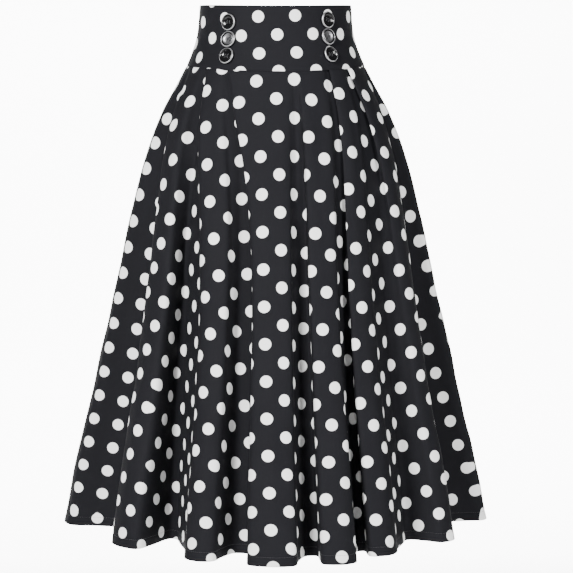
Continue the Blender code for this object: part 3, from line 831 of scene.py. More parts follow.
def cotton_material():
    """Black woven cotton with off-white dots."""
    material, tree, shader = new_material("dotted_cotton", BLACK_DYE, 0.82, Specular_IOR_Level=0.08)
    flat = add_node(tree, "ShaderNodeAttribute", {"attribute_name": "flat"}).outputs["Vector"]
    inside = add_node(tree, "ShaderNodeAttribute", {"attribute_name": "inside"}).outputs["Fac"]
    dots = dot_mask(tree, flat)
    grain = clouds(tree, flat, 620.0, 2.0)
    ground = mixed(tree, clouds(tree, flat, 16.0, 4.0), BLACK_DYE, WORN_DYE)
    ink = mixed(tree, grain, DOT_INK_THIN, DOT_INK)
    right_side = mixed(tree, dots, ground, ink)
    wrong_side = mixed(tree, dots, INSIDE_DYE, INSIDE_DOT)
    tree.links.new(mixed(tree, inside, right_side, wrong_side), shader.inputs["Base Color"])
    tree.links.new(math_node(tree, "MULTIPLY_ADD", grain, 0.16, 0.72), shader.inputs["Roughness"])
    set_relief(tree, shader, weave_height(tree, flat, THREAD_PITCH), 0.30, 0.00016)
    return material


COTTON = cotton_material()
print("cotton nodes:", len(COTTON.node_tree.nodes))

# %% [markdown]
# ## The slot of the zip and the cut at the seams
# The skirt is worked out all round first, as one grid, and then cut at its seams. The edges of a seam
# meet. Over the zip the two back edges stand apart and leave a slot, which is wider at the top for the
# slider. An edge is drawn back along the cloth, and the columns beside it move less and less with it.

# %% The skirt all round
SEAM_SHARES = np.linspace(0, 0.012, 5)
MIDDLE_SHARES = np.linspace(0.018, 0.962, 118)
HEM_SHARES = np.linspace(0.9675, 1.0, 14)
ZIP_END_DROP = 0.245
ZIP_SLOT = 0.0012
SLIDER_SLOT = 0.0060
SLIDER_SLOT_DROP = 0.013
DRAWN_COLUMNS = 4

shares = np.concatenate([SEAM_SHARES, MIDDLE_SHARES, HEM_SHARES])
skirt = skirt_grid(shares)
skirt_relief = crease_relief(skirt, SKIRT_CREASES) + skirt_sway(skirt, shares[:, None])
skirt = moved_out(skirt, skirt_relief)
print("skirt grid:", skirt.shape)


def lengths_along(line):
    """How far along a line each of its points lies."""
    steps = np.linalg.norm(np.diff(line, axis=0), axis=1)
    return np.concatenate([[0], np.cumsum(steps)])


def values_at(places, lengths, values):
    """The values, such as points or normals, that a line has at some places along it."""
    return np.stack([np.interp(places, lengths, column) for column in values.T], axis=-1)


def step_in(grid, first_gaps, last_gaps):
    """Draws the side edges of a grid in along its levels by gaps, and the columns beside them less."""
    grid = grid.copy()
    for rows, gaps in ((grid, first_gaps), (grid[:, ::-1], last_gaps)):
        for row, gap in zip(rows, gaps):
            drawn = row[: DRAWN_COLUMNS + 1]
            lengths = lengths_along(drawn)
            drawn[:] = values_at(gap + lengths * (1 - gap / lengths[-1]), lengths, drawn)
    return grid


def cut_size(flat):
    """The width, the length and the area of a flat piece."""
    x, y = flat[..., 0], flat[..., 1]
    across = (x[:-1, :-1] - x[1:, 1:]) * (y[:-1, 1:] - y[1:, :-1])
    down = (x[:-1, 1:] - x[1:, :-1]) * (y[:-1, :-1] - y[1:, 1:])
    return float(np.ptp(x)), float(np.ptp(y)), float(abs((across - down).sum()) / 2)


def back_gaps(drops):
    """How far each back edge stands from the middle of the back at drops."""
    gaps = np.where(drops > ZIP_END_DROP, SEAM_GAP / 2, ZIP_SLOT / 2)
    return np.where(drops > SLIDER_SLOT_DROP, gaps, SLIDER_SLOT / 2)


# %% [markdown]
# ## The skirt's three panels
# The front is one piece and the back is two, with the zip between them. The seam allowance at the waist
# turns inwards, so the first few millimetres of cloth roll in towards the seam. The hem is turned up by
# 12 mm and sewn, which makes the cloth thicker there and leaves a shallow line where the thread pulls it.
# Each piece was cut from its own place on the printed cloth.

# %% Skirt panels
HEM_FOLD = 0.012
HEM_FOLD_STEP = 0.001
HEM_EXTRA = 0.0007
HEM_LINE_DEPTH = 0.00035
HEM_LINE_WIDTH = 0.0013
SEAM_ROLL = 0.0009
SEAM_ROLL_REACH = 0.0022
SEAM_PULL = 0.00035
FRONT_LENGTH = 0.69
FRONT_DOTS_ASIDE = -0.0062
FRONT_DOTS_DOWN = 0.0148
FRONT_DOTS_DRIFT = (0.004, 0.012)
FRONT_DOTS_STRETCH = (0.952, 0.09)


def cotton_piece(name, grid, outer, inner, flat):
    """A piece of cotton that takes the place of its solid, with its grid and the size of its cut."""
    shell = cloth_shell(name + "_cloth", grid, outer, inner, flat, COTTON)
    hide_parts(name)
    return shell, grid, cut_size(flat)


def skirt_panel(name, first, last, zero_at, first_gaps, last_gaps, dot_shift):
    """One skirt panel between two knots, as cloth with its hem turned up."""
    grid = step_in(skirt[:, KNOT_STARTS[first] : KNOT_STARTS[last] + 1], first_gaps, last_gaps)
    flat = flat_places(grid, zero_at, SKIRT_RING_RADIUS, SKIRT_ROUNDS)
    down = flat[..., 2]
    roll = SEAM_ROLL * np.exp(-((down / SEAM_ROLL_REACH) ** 2))
    roll[:, [0, -1]] += SEAM_PULL
    grid = moved_out(grid, -roll)
    from_hem = down[-1:] - down
    folded = np.clip((HEM_FOLD + HEM_FOLD_STEP - from_hem) / HEM_FOLD_STEP, 0, 1)
    sewn = np.exp(-(((from_hem - HEM_FOLD) / HEM_LINE_WIDTH) ** 2))
    half = np.full(down.shape, SKIRT_CLOTH / 2)
    outer, inner = half - HEM_LINE_DEPTH * sewn, half + HEM_EXTRA * folded
    return cotton_piece(name, grid, outer, inner, dot_shift(flat))


def front_dots(flat):
    """The front's print drifts a little sideways down the cloth, and hangs a little longer low down."""
    flat = flat.copy()
    down = flat[..., 2].copy()
    share = down / FRONT_LENGTH
    early, late = FRONT_DOTS_DRIFT
    flat[..., 0] -= FRONT_DOTS_ASIDE + early * share + late * share**3
    even, growing = FRONT_DOTS_STRETCH
    flat[..., 1] += (even * down + growing * down**2) - down + FRONT_DOTS_DOWN
    flat[..., 2] = 0.0
    return flat


def back_dots(across, down):
    """A back piece's print lies where its piece happened to be cut."""

    def shifted(flat):
        flat = flat + (across, down, 0.0)
        flat[..., 2] = 0.0
        return flat

    return shifted


row_drops = -skirt[:, 0, 2]
seam_gaps = np.full(len(shares), SEAM_GAP / 2)
zip_gaps = back_gaps(row_drops)
left_seam, right_seam = SIDE_SEAMS
PANELS = (
    ("skirt_back_left", 0, left_seam, "start", zip_gaps, seam_gaps, back_dots(0.011, 0.018)),
    ("skirt_front", left_seam, right_seam, "middle", seam_gaps, seam_gaps, front_dots),
    ("skirt_back_right", right_seam, len(KNOTS) - 1, "end", seam_gaps, zip_gaps, back_dots(0.034, 0.006)),
)
panels = {row[0]: skirt_panel(*row) for row in PANELS}

# %% [markdown]
# ## The shaped waistband
# The band is two layers of cotton with a stiff layer between them, cut on a slight curve and joined at
# the sides. It stands up by itself, so it has no folds, only shallow creases where the body bends it.
# Its lower edge rolls in at the seam, its upper edge is a fold, and it dips a little at the front.

# %% Waistband
BAND_TOP_DIP = 0.0028
BAND_SEAM_ROLL = 0.0008
BAND_DOT_TURN = math.radians(1.6)
BAND_DOT_SHIFT = (0.0033, 0.0122)
BAND_COLUMN_ANGLE = 1.25
BAND_EDGE_SHARES = np.linspace(0, 0.05, 6)
BAND_MIDDLE_SHARES = np.linspace(0.075, 0.94, 32)
BAND_SEAM_SHARES = np.linspace(0.955, 1, 6)
band_shares = np.concatenate([BAND_EDGE_SHARES, BAND_MIDDLE_SHARES, BAND_SEAM_SHARES])


def band_piece(name, first, last, zero_at, first_gaps, last_gaps, dot_turn, dot_shift):
    """One piece of the waistband between two angles in degrees."""
    count = round((last - first) / BAND_COLUMN_ANGLE)
    angle = np.radians(np.linspace(first, last, count + 1))[None, :]
    share = band_shares[:, None]
    top = BAND_TOP_DIP * np.maximum(np.cos(angle), 0) ** 2
    drop = top + share * (band_bottom(angle) - top)
    grid = on_oval(angle + 0 * share, drop, np.full(drop.shape, BAND_INSET))
    grid = step_in(grid, first_gaps, last_gaps)
    flat = flat_places(grid, zero_at, BAND_RING_RADIUS, BAND_ROUNDS)
    down = flat[..., 2]
    roll = BAND_SEAM_ROLL * np.exp(-(((down[-1:] - down) / SEAM_ROLL_REACH) ** 2))
    sway = sway_relief(grid, BAND_SWAY_SEED, BAND_SWAY)
    grid = moved_out(grid, crease_relief(grid, BAND_CREASES) + sway - roll)
    cosine, sine = math.cos(dot_turn), math.sin(dot_turn)
    flat[..., :2] = flat[..., :2] @ np.array([[cosine, sine], [-sine, cosine]]) + dot_shift
    flat[..., 2] = 0.0
    half = np.full(down.shape, BAND_CLOTH / 2)
    return cotton_piece(name, grid, half, half, flat)


band_zip = back_gaps(band_shares * BAND_HEIGHT)
band_seam = np.full(len(band_shares), SEAM_GAP / 2)
side = SIDE_SEAM_ANGLE_AT_WAIST
BAND_PIECES = (
    ("waistband_back_left", -180.0, -side, "start", band_zip, band_seam, 0.0, (0.016, 0.031)),
    ("waistband_front", -side, side, "middle", band_seam, band_seam, BAND_DOT_TURN, BAND_DOT_SHIFT),
    ("waistband_back_right", side, 180.0, "end", band_seam, band_zip, 0.0, (0.029, 0.012)),
)
bands = {row[0]: band_piece(*row) for row in BAND_PIECES}

# %% [markdown]
# ## Thread
# Thread is round and soft. One helper lays a thin tube along a line of points, with its ends closed. It
# serves for the buttons' thread and for every stitch, and many tubes can be joined into one mesh.


# %% Tubes of thread
def tube(points, radius, sides=6):
    """Points and faces of a closed tube along a line."""
    path = np.asarray(points, float)
    along = np.gradient(path, axis=0)
    along /= np.linalg.norm(along, axis=1)[:, None]
    lean = np.array([0.0, 0.0, 1.0]) if abs(along[0][2]) < 0.9 else np.array([1.0, 0.0, 0.0])
    rings = []
    for centre, way in zip(path, along):
        lean = lean - way * (lean @ way)
        lean /= np.linalg.norm(lean)
        across = np.cross(way, lean)
        turns = np.arange(sides) * 2 * math.pi / sides
        rings.append(centre + radius * (np.outer(np.cos(turns), lean) + np.outer(np.sin(turns), across)))
    verts = np.concatenate(rings)
    faces = []
    for r in range(len(path) - 1):
        for k in range(sides):
            a, b = r * sides + k, r * sides + (k + 1) % sides
            faces.append([a, b, b + sides, a + sides])
    last = (len(path) - 1) * sides
    faces.append(list(range(sides))[::-1])
    faces.append([last + k for k in range(sides)])
    return verts, faces


def joined(parts):
    """Several meshes' points and faces as one."""
    points, faces, start = [], [], 0
    for verts, own in parts:
        points.append(verts)
        faces += [[start + i for i in face] for face in own]
        start += len(verts)
    return np.concatenate(points).tolist(), faces


# %% [markdown]
# ## Buttons
# Each button is turned: a dished middle with four holes, a shallow groove and a raised rim. The groove is
# coloured near black, and the rim is coloured pale metal as a painted highlight, which stands in for the
# bright ring that its bevel catches, so that a thin pale ring shows round a dark one. The black buttons
# are polished resin, and the middle one of each row has a grey metal finish. Two doubled threads hold each
# button, and they also wind into the short shank behind it. The outline is given as radius and height.

# %% Button sizes
BUTTON_SEGMENTS = 64
BUTTON_HOLE_RADIUS = 0.0012
BUTTON_HOLE_REACH = 0.0030
BUTTON_LIFT = 0.0015
BUTTON_DRILL_LENGTH = 0.01
BUTTON_EDGE = 0.00012
BUTTON_OUTLINE = (
    (0.0000, 0.00150),
    (0.0030, 0.00153),
    (0.0050, 0.00166),
    (0.0064, 0.00195),
    (0.0072, 0.00250),
    (0.0077, 0.00272),
    (0.0081, 0.00262),
    (0.0084, 0.00215),
    (0.0089, 0.00215),
    (0.0093, 0.00300),
    (0.0098, 0.00350),
    (0.0104, 0.00360),
    (0.0110, 0.00330),
    (0.0114, 0.00275),
    (0.0115, 0.00215),
    (0.0113, 0.00140),
    (0.0108, 0.00060),
    (0.0100, 0.00010),
    (0.0092, 0.00000),
    (0.0000, 0.00000),
)
Place = namedtuple("Place", "side number angle drop tilt_across tilt_down thread_turn silver")
BUTTONS = (
    Place("left", 1, -37.9, 0.0250, -1.2, 0.8, 96.0, False),
    Place("left", 2, -37.0, 0.0493, 1.0, -1.0, 10.0, True),
    Place("left", 3, -35.6, 0.0728, -0.6, 0.4, 88.0, False),
    Place("right", 1, 38.1, 0.0216, 1.2, 0.6, 70.0, False),
    Place("right", 2, 37.3, 0.0455, -1.2, -1.0, 14.0, True),
    Place("right", 3, 36.3, 0.0708, 0.6, 0.6, 84.0, False),
)
THREAD_RADIUS = 0.00040
THREAD_SPREAD = 1.15
THREAD_STOPS = (0, 0, 0.10, 0.5, 0.90, 1, 1)
THREAD_TOP = 0.0021
THREAD_CROSSING = 0.0005
SHANK_RADIUS = 0.0013
SHANK_WIND_POINTS = 29
SHANK_POINTS_A_TURN = 7
SHANK_WIND_RADIUS = 0.00018
# From this radius out the rim is coloured pale metal as a painted highlight: it stands in for the bright
# ring that the bevel catches.
RIM_START = 0.0101
RIM_EDGE = 0.0003
RIM_PAINTED_HIGHLIGHT = (0.46, 0.46, 0.47)
RIM_ROUGHNESS = 0.42
# The groove's ring is coloured near black.
GROOVE_MIDDLE = 0.0089
GROOVE_REACH = 0.0008
GROOVE_NEAR_BLACK = (0.006, 0.006, 0.0065)


def polished(name, colour, roughness, metallic, scratch):
    """A polished button face with faint scratches, a near-black groove, and a rim coloured pale metal as a
    painted highlight.
    """
    material, tree, shader = new_material(name, colour, roughness)
    place = own_place(tree)
    cloud = clouds(tree, place, 420.0, 2.0)
    darker = tuple(0.72 * c for c in colour)
    across = vector_node(tree, "MULTIPLY", {0: place, 1: (1.0, 1.0, 0.0)}).outputs["Vector"]
    radius = vector_node(tree, "LENGTH", {0: across}).outputs["Value"]
    # Painted highlight: the rim's pale metal colour.
    rim_highlight_mask = change(tree, radius, RIM_START, RIM_START + RIM_EDGE)
    groove = math_node(tree, "COMPARE", radius, GROOVE_MIDDLE, GROOVE_REACH)
    face = mixed(tree, groove, mixed(tree, cloud, darker, colour), GROOVE_NEAR_BLACK)
    tree.links.new(mixed(tree, rim_highlight_mask, face, RIM_PAINTED_HIGHLIGHT), shader.inputs["Base Color"])
    tree.links.new(math_node(tree, "MAXIMUM", rim_highlight_mask, metallic), shader.inputs["Metallic"])
    face_rough = math_node(tree, "MULTIPLY_ADD", cloud, 0.16, roughness - 0.08)
    rim_rough = math_node(tree, "MULTIPLY", rim_highlight_mask, RIM_ROUGHNESS)
    tree.links.new(math_node(tree, "MAXIMUM", face_rough, rim_rough), shader.inputs["Roughness"])
    set_relief(tree, shader, clouds(tree, place, 2600.0, 3.0), scratch, 0.000006)
    return material


def thread_material(name, colour):
    """Spun thread, with the slanting ridges of its plies, whose crests are painted lighter as painted
    sheen.
    """
    material, tree, shader = new_material(name, colour, 0.6, Sheen_Weight=0.2, Specular_IOR_Level=0.3)
    # Painted sheen: the lighter colour for the crests of the plies.
    light = tuple(min(1.0, 1.7 * c) for c in colour)
    set_ribs(tree, shader, own_place(tree), "DIAGONAL", 900.0, 1.0, colour, light)
    return material


BLACK_RESIN = polished("black_resin", (0.004, 0.004, 0.0045), 0.15, 0.0, 0.10)
GREY_METAL = polished("grey_metal", (0.27, 0.27, 0.28), 0.36, 1.0, 0.25)
BLACK_THREAD = thread_material("black_thread", (0.011, 0.011, 0.013))


# %% Buttons and their thread
def button_frame(place):
    """The matrix that takes a button's own axes to its place on the band."""
    at = [
        on_oval(math.radians(place.angle + turn), place.drop + lower, np.array(0.0))
        for turn, lower in ((0.0, 0.0), (1.0, 0.0), (0.0, 0.002))
    ]
    across = Vector(at[1] - at[0]).normalized()
    down = Vector(at[2] - at[0]).normalized()
    outward = down.cross(across).normalized()
    frame = Matrix((across, -down, outward)).transposed().to_4x4()
    tilt = Matrix.Rotation(math.radians(place.tilt_across), 4, "Y")
    # Fine ribs that catch the light, with a lighter colour painted on their crests as painted sheen.
    tilt = tilt @ Matrix.Rotation(math.radians(place.tilt_down), 4, "X")
    return Matrix.Translation(Vector(at[0]) + outward * BUTTON_LIFT) @ frame @ tilt

# The lighter colour on the rib crests is painted sheen.

def hole_places():
    """The middles of a button's four sewing holes."""
    turns = [math.radians(45 + 90 * number) for number in range(4)]
    return [(BUTTON_HOLE_REACH * math.cos(a), BUTTON_HOLE_REACH * math.sin(a)) for a in turns]


def turned_mesh():
    """The button's turned body with four holes drilled through it."""
    turns = np.arange(BUTTON_SEGMENTS) * 2 * math.pi / BUTTON_SEGMENTS
    rings = BUTTON_OUTLINE[1:-1]
    points = [(r * math.cos(t), r * math.sin(t), z) for r, z in rings for t in turns]
    front, back = len(points), len(points) + 1
    points += [(0, 0, BUTTON_OUTLINE[0][1]), (0, 0, BUTTON_OUTLINE[-1][1])]
    n = BUTTON_SEGMENTS
    faces = []
    for r in range(len(rings) - 1):
        for k in range(n):
            a, b = r * n + k, r * n + (k + 1) % n
            faces.append([a, a + n, b + n, b])
    last = (len(rings) - 1) * n
    for k in range(n):
        faces.append([front, k, (k + 1) % n])
        faces.append([back, last + (k + 1) % n, last + k])
    mesh = bpy.data.meshes.new("turned")
    mesh.from_pydata(points, [], faces)
    body = linked("turned", mesh)
    drills = []
    for x, y in hole_places():
        shape = bmesh.new()
        bmesh.ops.create_cone(
            shape,
            cap_ends=True,
            segments=24,
            radius1=BUTTON_HOLE_RADIUS,
            radius2=BUTTON_HOLE_RADIUS,
            depth=BUTTON_DRILL_LENGTH,
            matrix=Matrix.Translation(Vector((x, y, 0))),
        )
        drill_mesh = bpy.data.meshes.new("drill")
        shape.to_mesh(drill_mesh)
        shape.free()
        drill = linked("drill", drill_mesh)
        cut = body.modifiers.new("Drill", "BOOLEAN")
        cut.operation = "DIFFERENCE"
        cut.object = drill
        drills.append(drill)
    soften(body, BUTTON_EDGE, 50)
    bpy.context.view_layer.update()
    made = bpy.data.meshes.new_from_object(body.evaluated_get(bpy.context.evaluated_depsgraph_get()))
    for gone in (body, *drills):
        bpy.data.objects.remove(gone)
    made.shade_smooth()
    made.set_sharp_from_angle(angle=math.radians(35))
    return made


TURNED = turned_mesh()


def button_thread(place, frame):
    """Doubled threads through the holes, and the shank that they wind behind the button."""
    corners = [np.array(at) for at in hole_places()]
    pairs = ((0, 2), (1, 3)) if place.silver else ((0, 1), (3, 2))
    parts = []
    for order, (i, j) in enumerate(pairs):
        run = corners[j] - corners[i]
        run /= np.linalg.norm(run)
        beside = np.array([-run[1], run[0]])
        top = THREAD_TOP + (THREAD_CROSSING * order if place.silver else 0.0)
        heights = (-0.0004, 0.0010, top - 0.0002, top, top - 0.0002, 0.0010, -0.0004)
        for side in (-1, 1):
            shift = beside * side * THREAD_RADIUS * THREAD_SPREAD
            stops = []
            for share, height in zip(THREAD_STOPS, heights):
                flat_at = corners[i] + (corners[j] - corners[i]) * share + shift
                stops.append((flat_at[0], flat_at[1], height))
            parts.append(tube(stops, THREAD_RADIUS))
    winds = []
    for k in range(SHANK_WIND_POINTS):
        a = k * 2 * math.pi / SHANK_POINTS_A_TURN
        height = -0.0003 - 0.0004 * k / (SHANK_WIND_POINTS - 1)
        winds.append((SHANK_RADIUS * math.cos(a), SHANK_RADIUS * math.sin(a), height))
    parts.append(tube([(0, 0, -0.0006), (0, 0, -0.0002), (0, 0, 0.0001)], SHANK_RADIUS, 12))
    parts.append(tube(winds, SHANK_WIND_RADIUS, 5))
    points, faces = joined(parts)
    points = [tuple(frame @ Vector(p)) for p in points]
    return piece_from(f"button_thread_{place.side}_{place.number}", points, faces, BLACK_THREAD)


buttons = []
for place in BUTTONS:
    name = f"button_{place.side}_{place.number}"
    frame_of_button = button_frame(place)
    mesh = TURNED.copy()
    mesh.name = name + "_turned"
    mesh.materials.clear()
    mesh.materials.append(GREY_METAL if place.silver else BLACK_RESIN)
    made = linked(name + "_turned", mesh)
    spin = Matrix.Rotation(math.radians(place.thread_turn), 4, "Z")
    made.matrix_world = frame_of_button @ spin
    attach(made, GARMENT)
    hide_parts(name)
    buttons.append(made)
    button_thread(place, frame_of_button @ spin)
bpy.data.meshes.remove(TURNED)
button_triangles = sum(len(p.vertices) - 2 for p in buttons[0].data.polygons)
print("buttons:", len(buttons), "triangles each:", button_triangles)

# %% [markdown]
# ## The zip
# A zip is sewn behind the middle of the back. Its woven tape follows the inside of the band and the skirt,
# and its small teeth close the slot between the two back pieces. The slider is parked at the top, where
# the slot is wider, and its pull hangs down outside. The slider and the pull stay as they were modelled,
# with softened edges and a worn black enamel.

# %% Zip sizes and tape
TAPE_WIDTH = 0.024
TAPE_CLOTH = 0.0007
TAPE_TOP_DROP = 0.003
TAPE_END_DROP = 0.258
TAPE_INSET_IN_BAND = 0.0026
TAPE_INSET_IN_SKIRT = 0.0019
TAPE_STEP = 0.008
TAPE_ROWS = 90
TAPE_COLUMNS = 13
TOOTH_PITCH = 0.0012
TOOTH_SIZE = (0.00062, 0.0010, 0.00046)
TOOTH_OFFSET = 0.00018
TOOTH_SINK = 0.0001
TOOTH_TAPER = 0.72
TEETH_TOP_DROP = 0.0128
TEETH_END_DROP = 0.2432


def tape_material():
    """Black woven tape with fine ribs across it, whose crests are painted lighter as painted sheen."""
    material, tree, shader = new_material("woven_tape", (0.010, 0.010, 0.012), 0.8, Sheen_Weight=0.1)
    flat = add_node(tree, "ShaderNodeAttribute", {"attribute_name": "flat"}).outputs["Vector"]
    set_ribs(tree, shader, flat, "Y", 420.0, 0.6, (0.008, 0.008, 0.010), (0.016, 0.016, 0.019))
    return material


def enamel_material():
    """Black enamel that is rubbed through to the metal in small spots."""
    black, bare = (0.012, 0.012, 0.013), (0.16, 0.155, 0.15)
    material, tree, shader = new_material("worn_enamel", black, 0.28, Specular_IOR_Level=0.2)
    rubs = clouds(tree, own_place(tree), 700.0, 4.0)
    worn = change(tree, rubs, 0.60, 0.74)
    tree.links.new(mixed(tree, worn, black, bare), shader.inputs["Base Color"])
    tree.links.new(worn, shader.inputs["Metallic"])
    tree.links.new(math_node(tree, "MULTIPLY_ADD", rubs, 0.25, 0.18), shader.inputs["Roughness"])
    return material


TAPE = tape_material()
ENAMEL = enamel_material()

tape_drops = np.linspace(TAPE_TOP_DROP, TAPE_END_DROP, TAPE_ROWS)[:, None]
beyond = np.clip((tape_drops - BAND_HEIGHT + TAPE_STEP / 2) / TAPE_STEP, 0, 1)
tape_insets = TAPE_INSET_IN_BAND + (TAPE_INSET_IN_SKIRT - TAPE_INSET_IN_BAND) * beyond
tape_across = np.linspace(-TAPE_WIDTH / 2, TAPE_WIDTH / 2, TAPE_COLUMNS)[None, :]
tape_angles = math.pi + tape_across / eased(tape_drops[:, 0])[:, :1]
tape_grid = on_oval(tape_angles, tape_drops + 0 * tape_across, tape_insets + 0 * tape_across)
tape_shares = (tape_drops - BAND_HEIGHT) / (HEM_DROP - BAND_HEIGHT)
tape_grid = moved_out(tape_grid, skirt_sway(tape_grid, tape_shares))
tape_flat = np.stack(np.broadcast_arrays(tape_across, tape_drops, 0 * tape_angles), axis=-1)
half_tape = np.full(tape_angles.shape, TAPE_CLOTH / 2)
tape = cloth_shell("zip_tape_cloth", tape_grid, half_tape, half_tape, tape_flat, TAPE)
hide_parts("zip_tape")

# %% [markdown]
# ## The teeth
# Each tooth is a small tapered block on the outer face of the tape. The teeth of the two sides follow
# each other in turn, a little to the left and a little to the right of the middle.

# %% Zip teeth
TOOTH_CORNERS = [(x, y, z) for z in (-1, 1) for x, y in ((-1, -1), (1, -1), (1, 1), (-1, 1))]
TOOTH_FACES = ((0, 1, 2, 3), (7, 6, 5, 4), (4, 5, 1, 0), (5, 6, 2, 1), (6, 7, 3, 2), (7, 4, 0, 3))
teeth = []
tape_out = grid_normals(tape_grid)[:, TAPE_COLUMNS // 2]
tape_middle = tape_grid[:, TAPE_COLUMNS // 2]
count = int((TEETH_END_DROP - TEETH_TOP_DROP) / TOOTH_PITCH * 2)
for k in range(count):
    drop = TEETH_TOP_DROP + k * TOOTH_PITCH / 2
    at = values_at(drop, tape_drops[:, 0], tape_middle)
    out = values_at(drop, tape_drops[:, 0], tape_out)
    out /= np.linalg.norm(out)
    up = np.cross(out, (-1.0, 0.0, 0.0))
    side = TOOTH_OFFSET if k % 2 else -TOOTH_OFFSET
    centre = at + out * (TAPE_CLOTH / 2 + TOOTH_SIZE[1] / 2 - TOOTH_SINK) + np.array([side, 0.0, 0.0])
    corners = []
    for x, y, z in TOOTH_CORNERS:
        taper = 1.0 if y < 0 else TOOTH_TAPER
        offset = np.array([x * TOOTH_SIZE[0] * taper, 0, 0])
        offset = offset + out * y * TOOTH_SIZE[1] + up * z * TOOTH_SIZE[2] * taper
        corners.append(centre + offset / 2)
    teeth.append((np.array(corners), TOOTH_FACES))
points, faces = joined(teeth)
zip_teeth = piece_from("zip_teeth", points, faces, ENAMEL)
zip_teeth.data.shade_flat()
print("teeth:", count)

# %% Slider and pull
for name, softness in (("zip_slider", 0.00022), ("zip_pull", 0.00018)):
    node = bpy.data.objects[name]
    node.data.materials.clear()
    node.data.materials.append(ENAMEL)
    soften(node, softness, 40)

# %% [markdown]
# ## Stitches
# The zip is topstitched 8 mm to each side of its middle and across below its end. The hem is sewn all
# round. A stitch is a short arc of thread that goes into the cloth at both ends. The lines are measured
# on the finished cloth, so that they follow every fold.

# %% Stitch rows
ZIP_STITCH_AWAY = 0.008
ZIP_STITCH_TOP = 0.0035
ZIP_STITCH_END = 0.250
ZIP_STITCH = 0.0026
HEM_STITCH = 0.0032
STITCH_RADIUS = 0.00016
STITCH_MARKS = np.array([0.05, 0.24, 0.76, 0.95])
STITCH_RISE = np.array([-1.6, 0.5, 0.5, -1.6])


def line_beside(grid, edge, away):
    """Points and normals at distances from a grid's first (0) or last (-1) column, row by row."""
    normals = grid_normals(grid)
    points, outs = [], []
    for row, out, reach in zip(grid, normals, np.broadcast_to(away, len(grid))):
        if edge:
            row, out = row[::-1], out[::-1]
        lengths = lengths_along(row)
        points.append(values_at(reach, lengths, row))
        outs.append(values_at(reach, lengths, out))
    return np.array(points), np.array(outs)


def line_above_hem(grid, away):
    """Points and normals at a distance from the last row, column by column."""
    points, outs = line_beside(grid.transpose(1, 0, 2), -1, away)
    return points, -outs


def stitch_row(points, normals, pitch, lift):
    """Tubes for the stitches along a line that lies in the middle of the cloth."""
    lengths = lengths_along(points)
    rise = lift + STITCH_RADIUS * STITCH_RISE
    parts = []
    for k in range(int(lengths[-1] / pitch)):
        marks = (k + STITCH_MARKS) * pitch
        out = values_at(marks, lengths, normals)
        out /= np.linalg.norm(out, axis=1)[:, None]
        parts.append(tube(values_at(marks, lengths, points) + out * rise[:, None], STITCH_RADIUS, 4))
    return parts


for name, (_, grid, _) in panels.items():
    points, outs = line_above_hem(grid, HEM_FOLD)
    rows = stitch_row(points, outs, HEM_STITCH, SKIRT_CLOTH / 2 - HEM_LINE_DEPTH)
    piece_from(name + "_hem_thread", *joined(rows), BLACK_THREAD)
    print(name, "hem stitches:", len(rows))

zip_rows = []
for side, edge in (("left", 0), ("right", -1)):
    band_grid, grid = bands["waistband_back_" + side][1], panels["skirt_back_" + side][1]
    for sewn, thickness in ((band_grid, BAND_CLOTH), (grid, SKIRT_CLOTH)):
        points, outs = line_beside(sewn, edge, ZIP_STITCH_AWAY - back_gaps(-sewn[:, 0, 2]))
        keep = (-points[:, 2] > ZIP_STITCH_TOP) & (-points[:, 2] < ZIP_STITCH_END)
        zip_rows += stitch_row(points[keep], outs[keep], ZIP_STITCH, thickness / 2)
    row = int(np.argmin(np.abs(-grid[:, 0, 2] - ZIP_STITCH_END)))
    line, outs = grid[row], grid_normals(grid)[row]
    if edge:
        line, outs = line[::-1], outs[::-1]
    keep = np.linalg.norm(line - line[0], axis=1) < ZIP_STITCH_AWAY
    zip_rows += stitch_row(line[keep], outs[keep], ZIP_STITCH, SKIRT_CLOTH / 2)
piece_from("zip_thread", *joined(zip_rows), BLACK_THREAD)
print("zip stitches:", len(zip_rows))

# %% [markdown]
# ## The cut of each piece of cloth
# The size of each piece's flat cut is printed, measured on the relaxed flat pieces above. The cut
# is what shows: the allowances that turn under at the seams and the hem come on top of it.

for name, (shell, _, (width, length, area)) in panels.items():
    print(name, "cut", round(width, 3), "x", round(length, 3), "m, area", round(area, 3))
for name, (shell, _, (width, length, area)) in bands.items():
    print(name, "cut", round(width, 3), "x", round(length, 3), "m, area", round(area, 4))

# %% [markdown]
# ## Studio
# Clothes are pictured against a plain white sweep, a sheet that runs from the floor up the wall in one
# curve, so that no edge shows behind them. Behind the skirt the paper is lit through from behind, which
# makes it evenly white, and fades out to the sides. Two weak lamps light the paper from the sides. Large
# soft lamps stand in front to the left and the right. They leave the bottoms of the folds dark, which is
# what shows the folds on black cloth.

# %% Floor and lamps
FLOOR_HEIGHT = -1.15
SWEEP_WIDTH = 9.0
SWEEP_FRONT = -4.5
SWEEP_BACK = 4.2
SWEEP_RADIUS = 1.2
SWEEP_TOP = 3.6
GLOW = 6.5
GLOW_ASIDE = (2.6, 1.7)
GLOW_BACK = (0.4, 1.6)
GLOW_UP = (2.4, 1.4)
AIR_LIGHT = 0.07


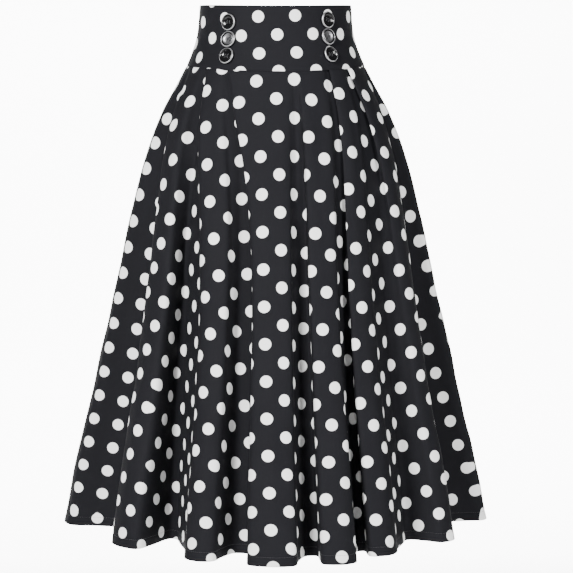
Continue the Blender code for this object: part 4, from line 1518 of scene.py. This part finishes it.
def paper_material():
    """White paper that glows where it is lit through from behind."""
    white = (1.0, 1.0, 1.0, 1.0)
    material, tree, shader = new_material(
        "white_paper", (0.86, 0.86, 0.86), 0.9, Specular_IOR_Level=0.1, Emission_Color=white
    )
    fibre = add_node(tree, "ShaderNodeTexNoise", None, {"Scale": 60.0, "Detail": 3.0}).outputs["Fac"]
    fibre_colour = mixed(tree, fibre, (0.85, 0.85, 0.85), (0.88, 0.88, 0.88))
    tree.links.new(fibre_colour, shader.inputs["Base Color"])
    axes = add_node(tree, "ShaderNodeSeparateXYZ", None, {"Vector": own_place(tree)}).outputs
    aside = math_node(tree, "ABSOLUTE", axes["X"])
    glow = GLOW
    for place, fade in ((aside, GLOW_ASIDE), (axes["Y"], GLOW_BACK), (axes["Z"], GLOW_UP)):
        glow = math_node(tree, "MULTIPLY", change(tree, place, *fade), glow)
    tree.links.new(glow, shader.inputs["Emission Strength"])
    return material


bend = [
    (SWEEP_BACK + SWEEP_RADIUS * math.sin(a), FLOOR_HEIGHT + SWEEP_RADIUS * (1 - math.cos(a)))
    for a in np.linspace(0, math.pi / 2, 17)
]
outline = [(SWEEP_FRONT, FLOOR_HEIGHT)] + bend + [(SWEEP_BACK + SWEEP_RADIUS, SWEEP_TOP)]
corners = [(x, y, z) for y, z in outline for x in (-SWEEP_WIDTH / 2, SWEEP_WIDTH / 2)]
strips = [(2 * k, 2 * k + 1, 2 * k + 3, 2 * k + 2) for k in range(len(outline) - 1)]
sweep = linked("paper_sweep", mesh_of("paper_sweep", corners, strips, paper_material()))

Lamp = namedtuple("Lamp", "name place target size watts spread")
LAMPS = (
    Lamp("key", (-1.9, -3.0, 1.5), (0, 0, -0.35), 1.1, 345, 180),
    Lamp("fill", (2.3, -2.8, 0.9), (0, 0, -0.40), 1.2, 140, 180),
    Lamp("sweep_left", (-2.8, 1.2, 1.7), (-0.3, 3.6, -1.1), 1.6, 170, 96),
    Lamp("sweep_right", (2.8, 1.2, 1.7), (0.3, 3.6, -1.1), 1.6, 170, 96),
)
for lamp in LAMPS:
    light = bpy.data.lights.new(lamp.name, "AREA")
    light.size = lamp.size
    light.energy = lamp.watts
    light.spread = math.radians(lamp.spread)
    holder = linked(lamp.name, light)
    holder.location = lamp.place
    aim = Vector(lamp.target) - Vector(lamp.place)
    holder.rotation_euler = aim.to_track_quat("-Z", "Y").to_euler()

world = bpy.data.worlds.new("studio_air")
world.use_nodes = True
air = world.node_tree.nodes["Background"]
air.inputs["Color"].default_value = (1.0, 1.0, 1.0, 1.0)
air.inputs["Strength"].default_value = AIR_LIGHT
bpy.context.scene.world = world
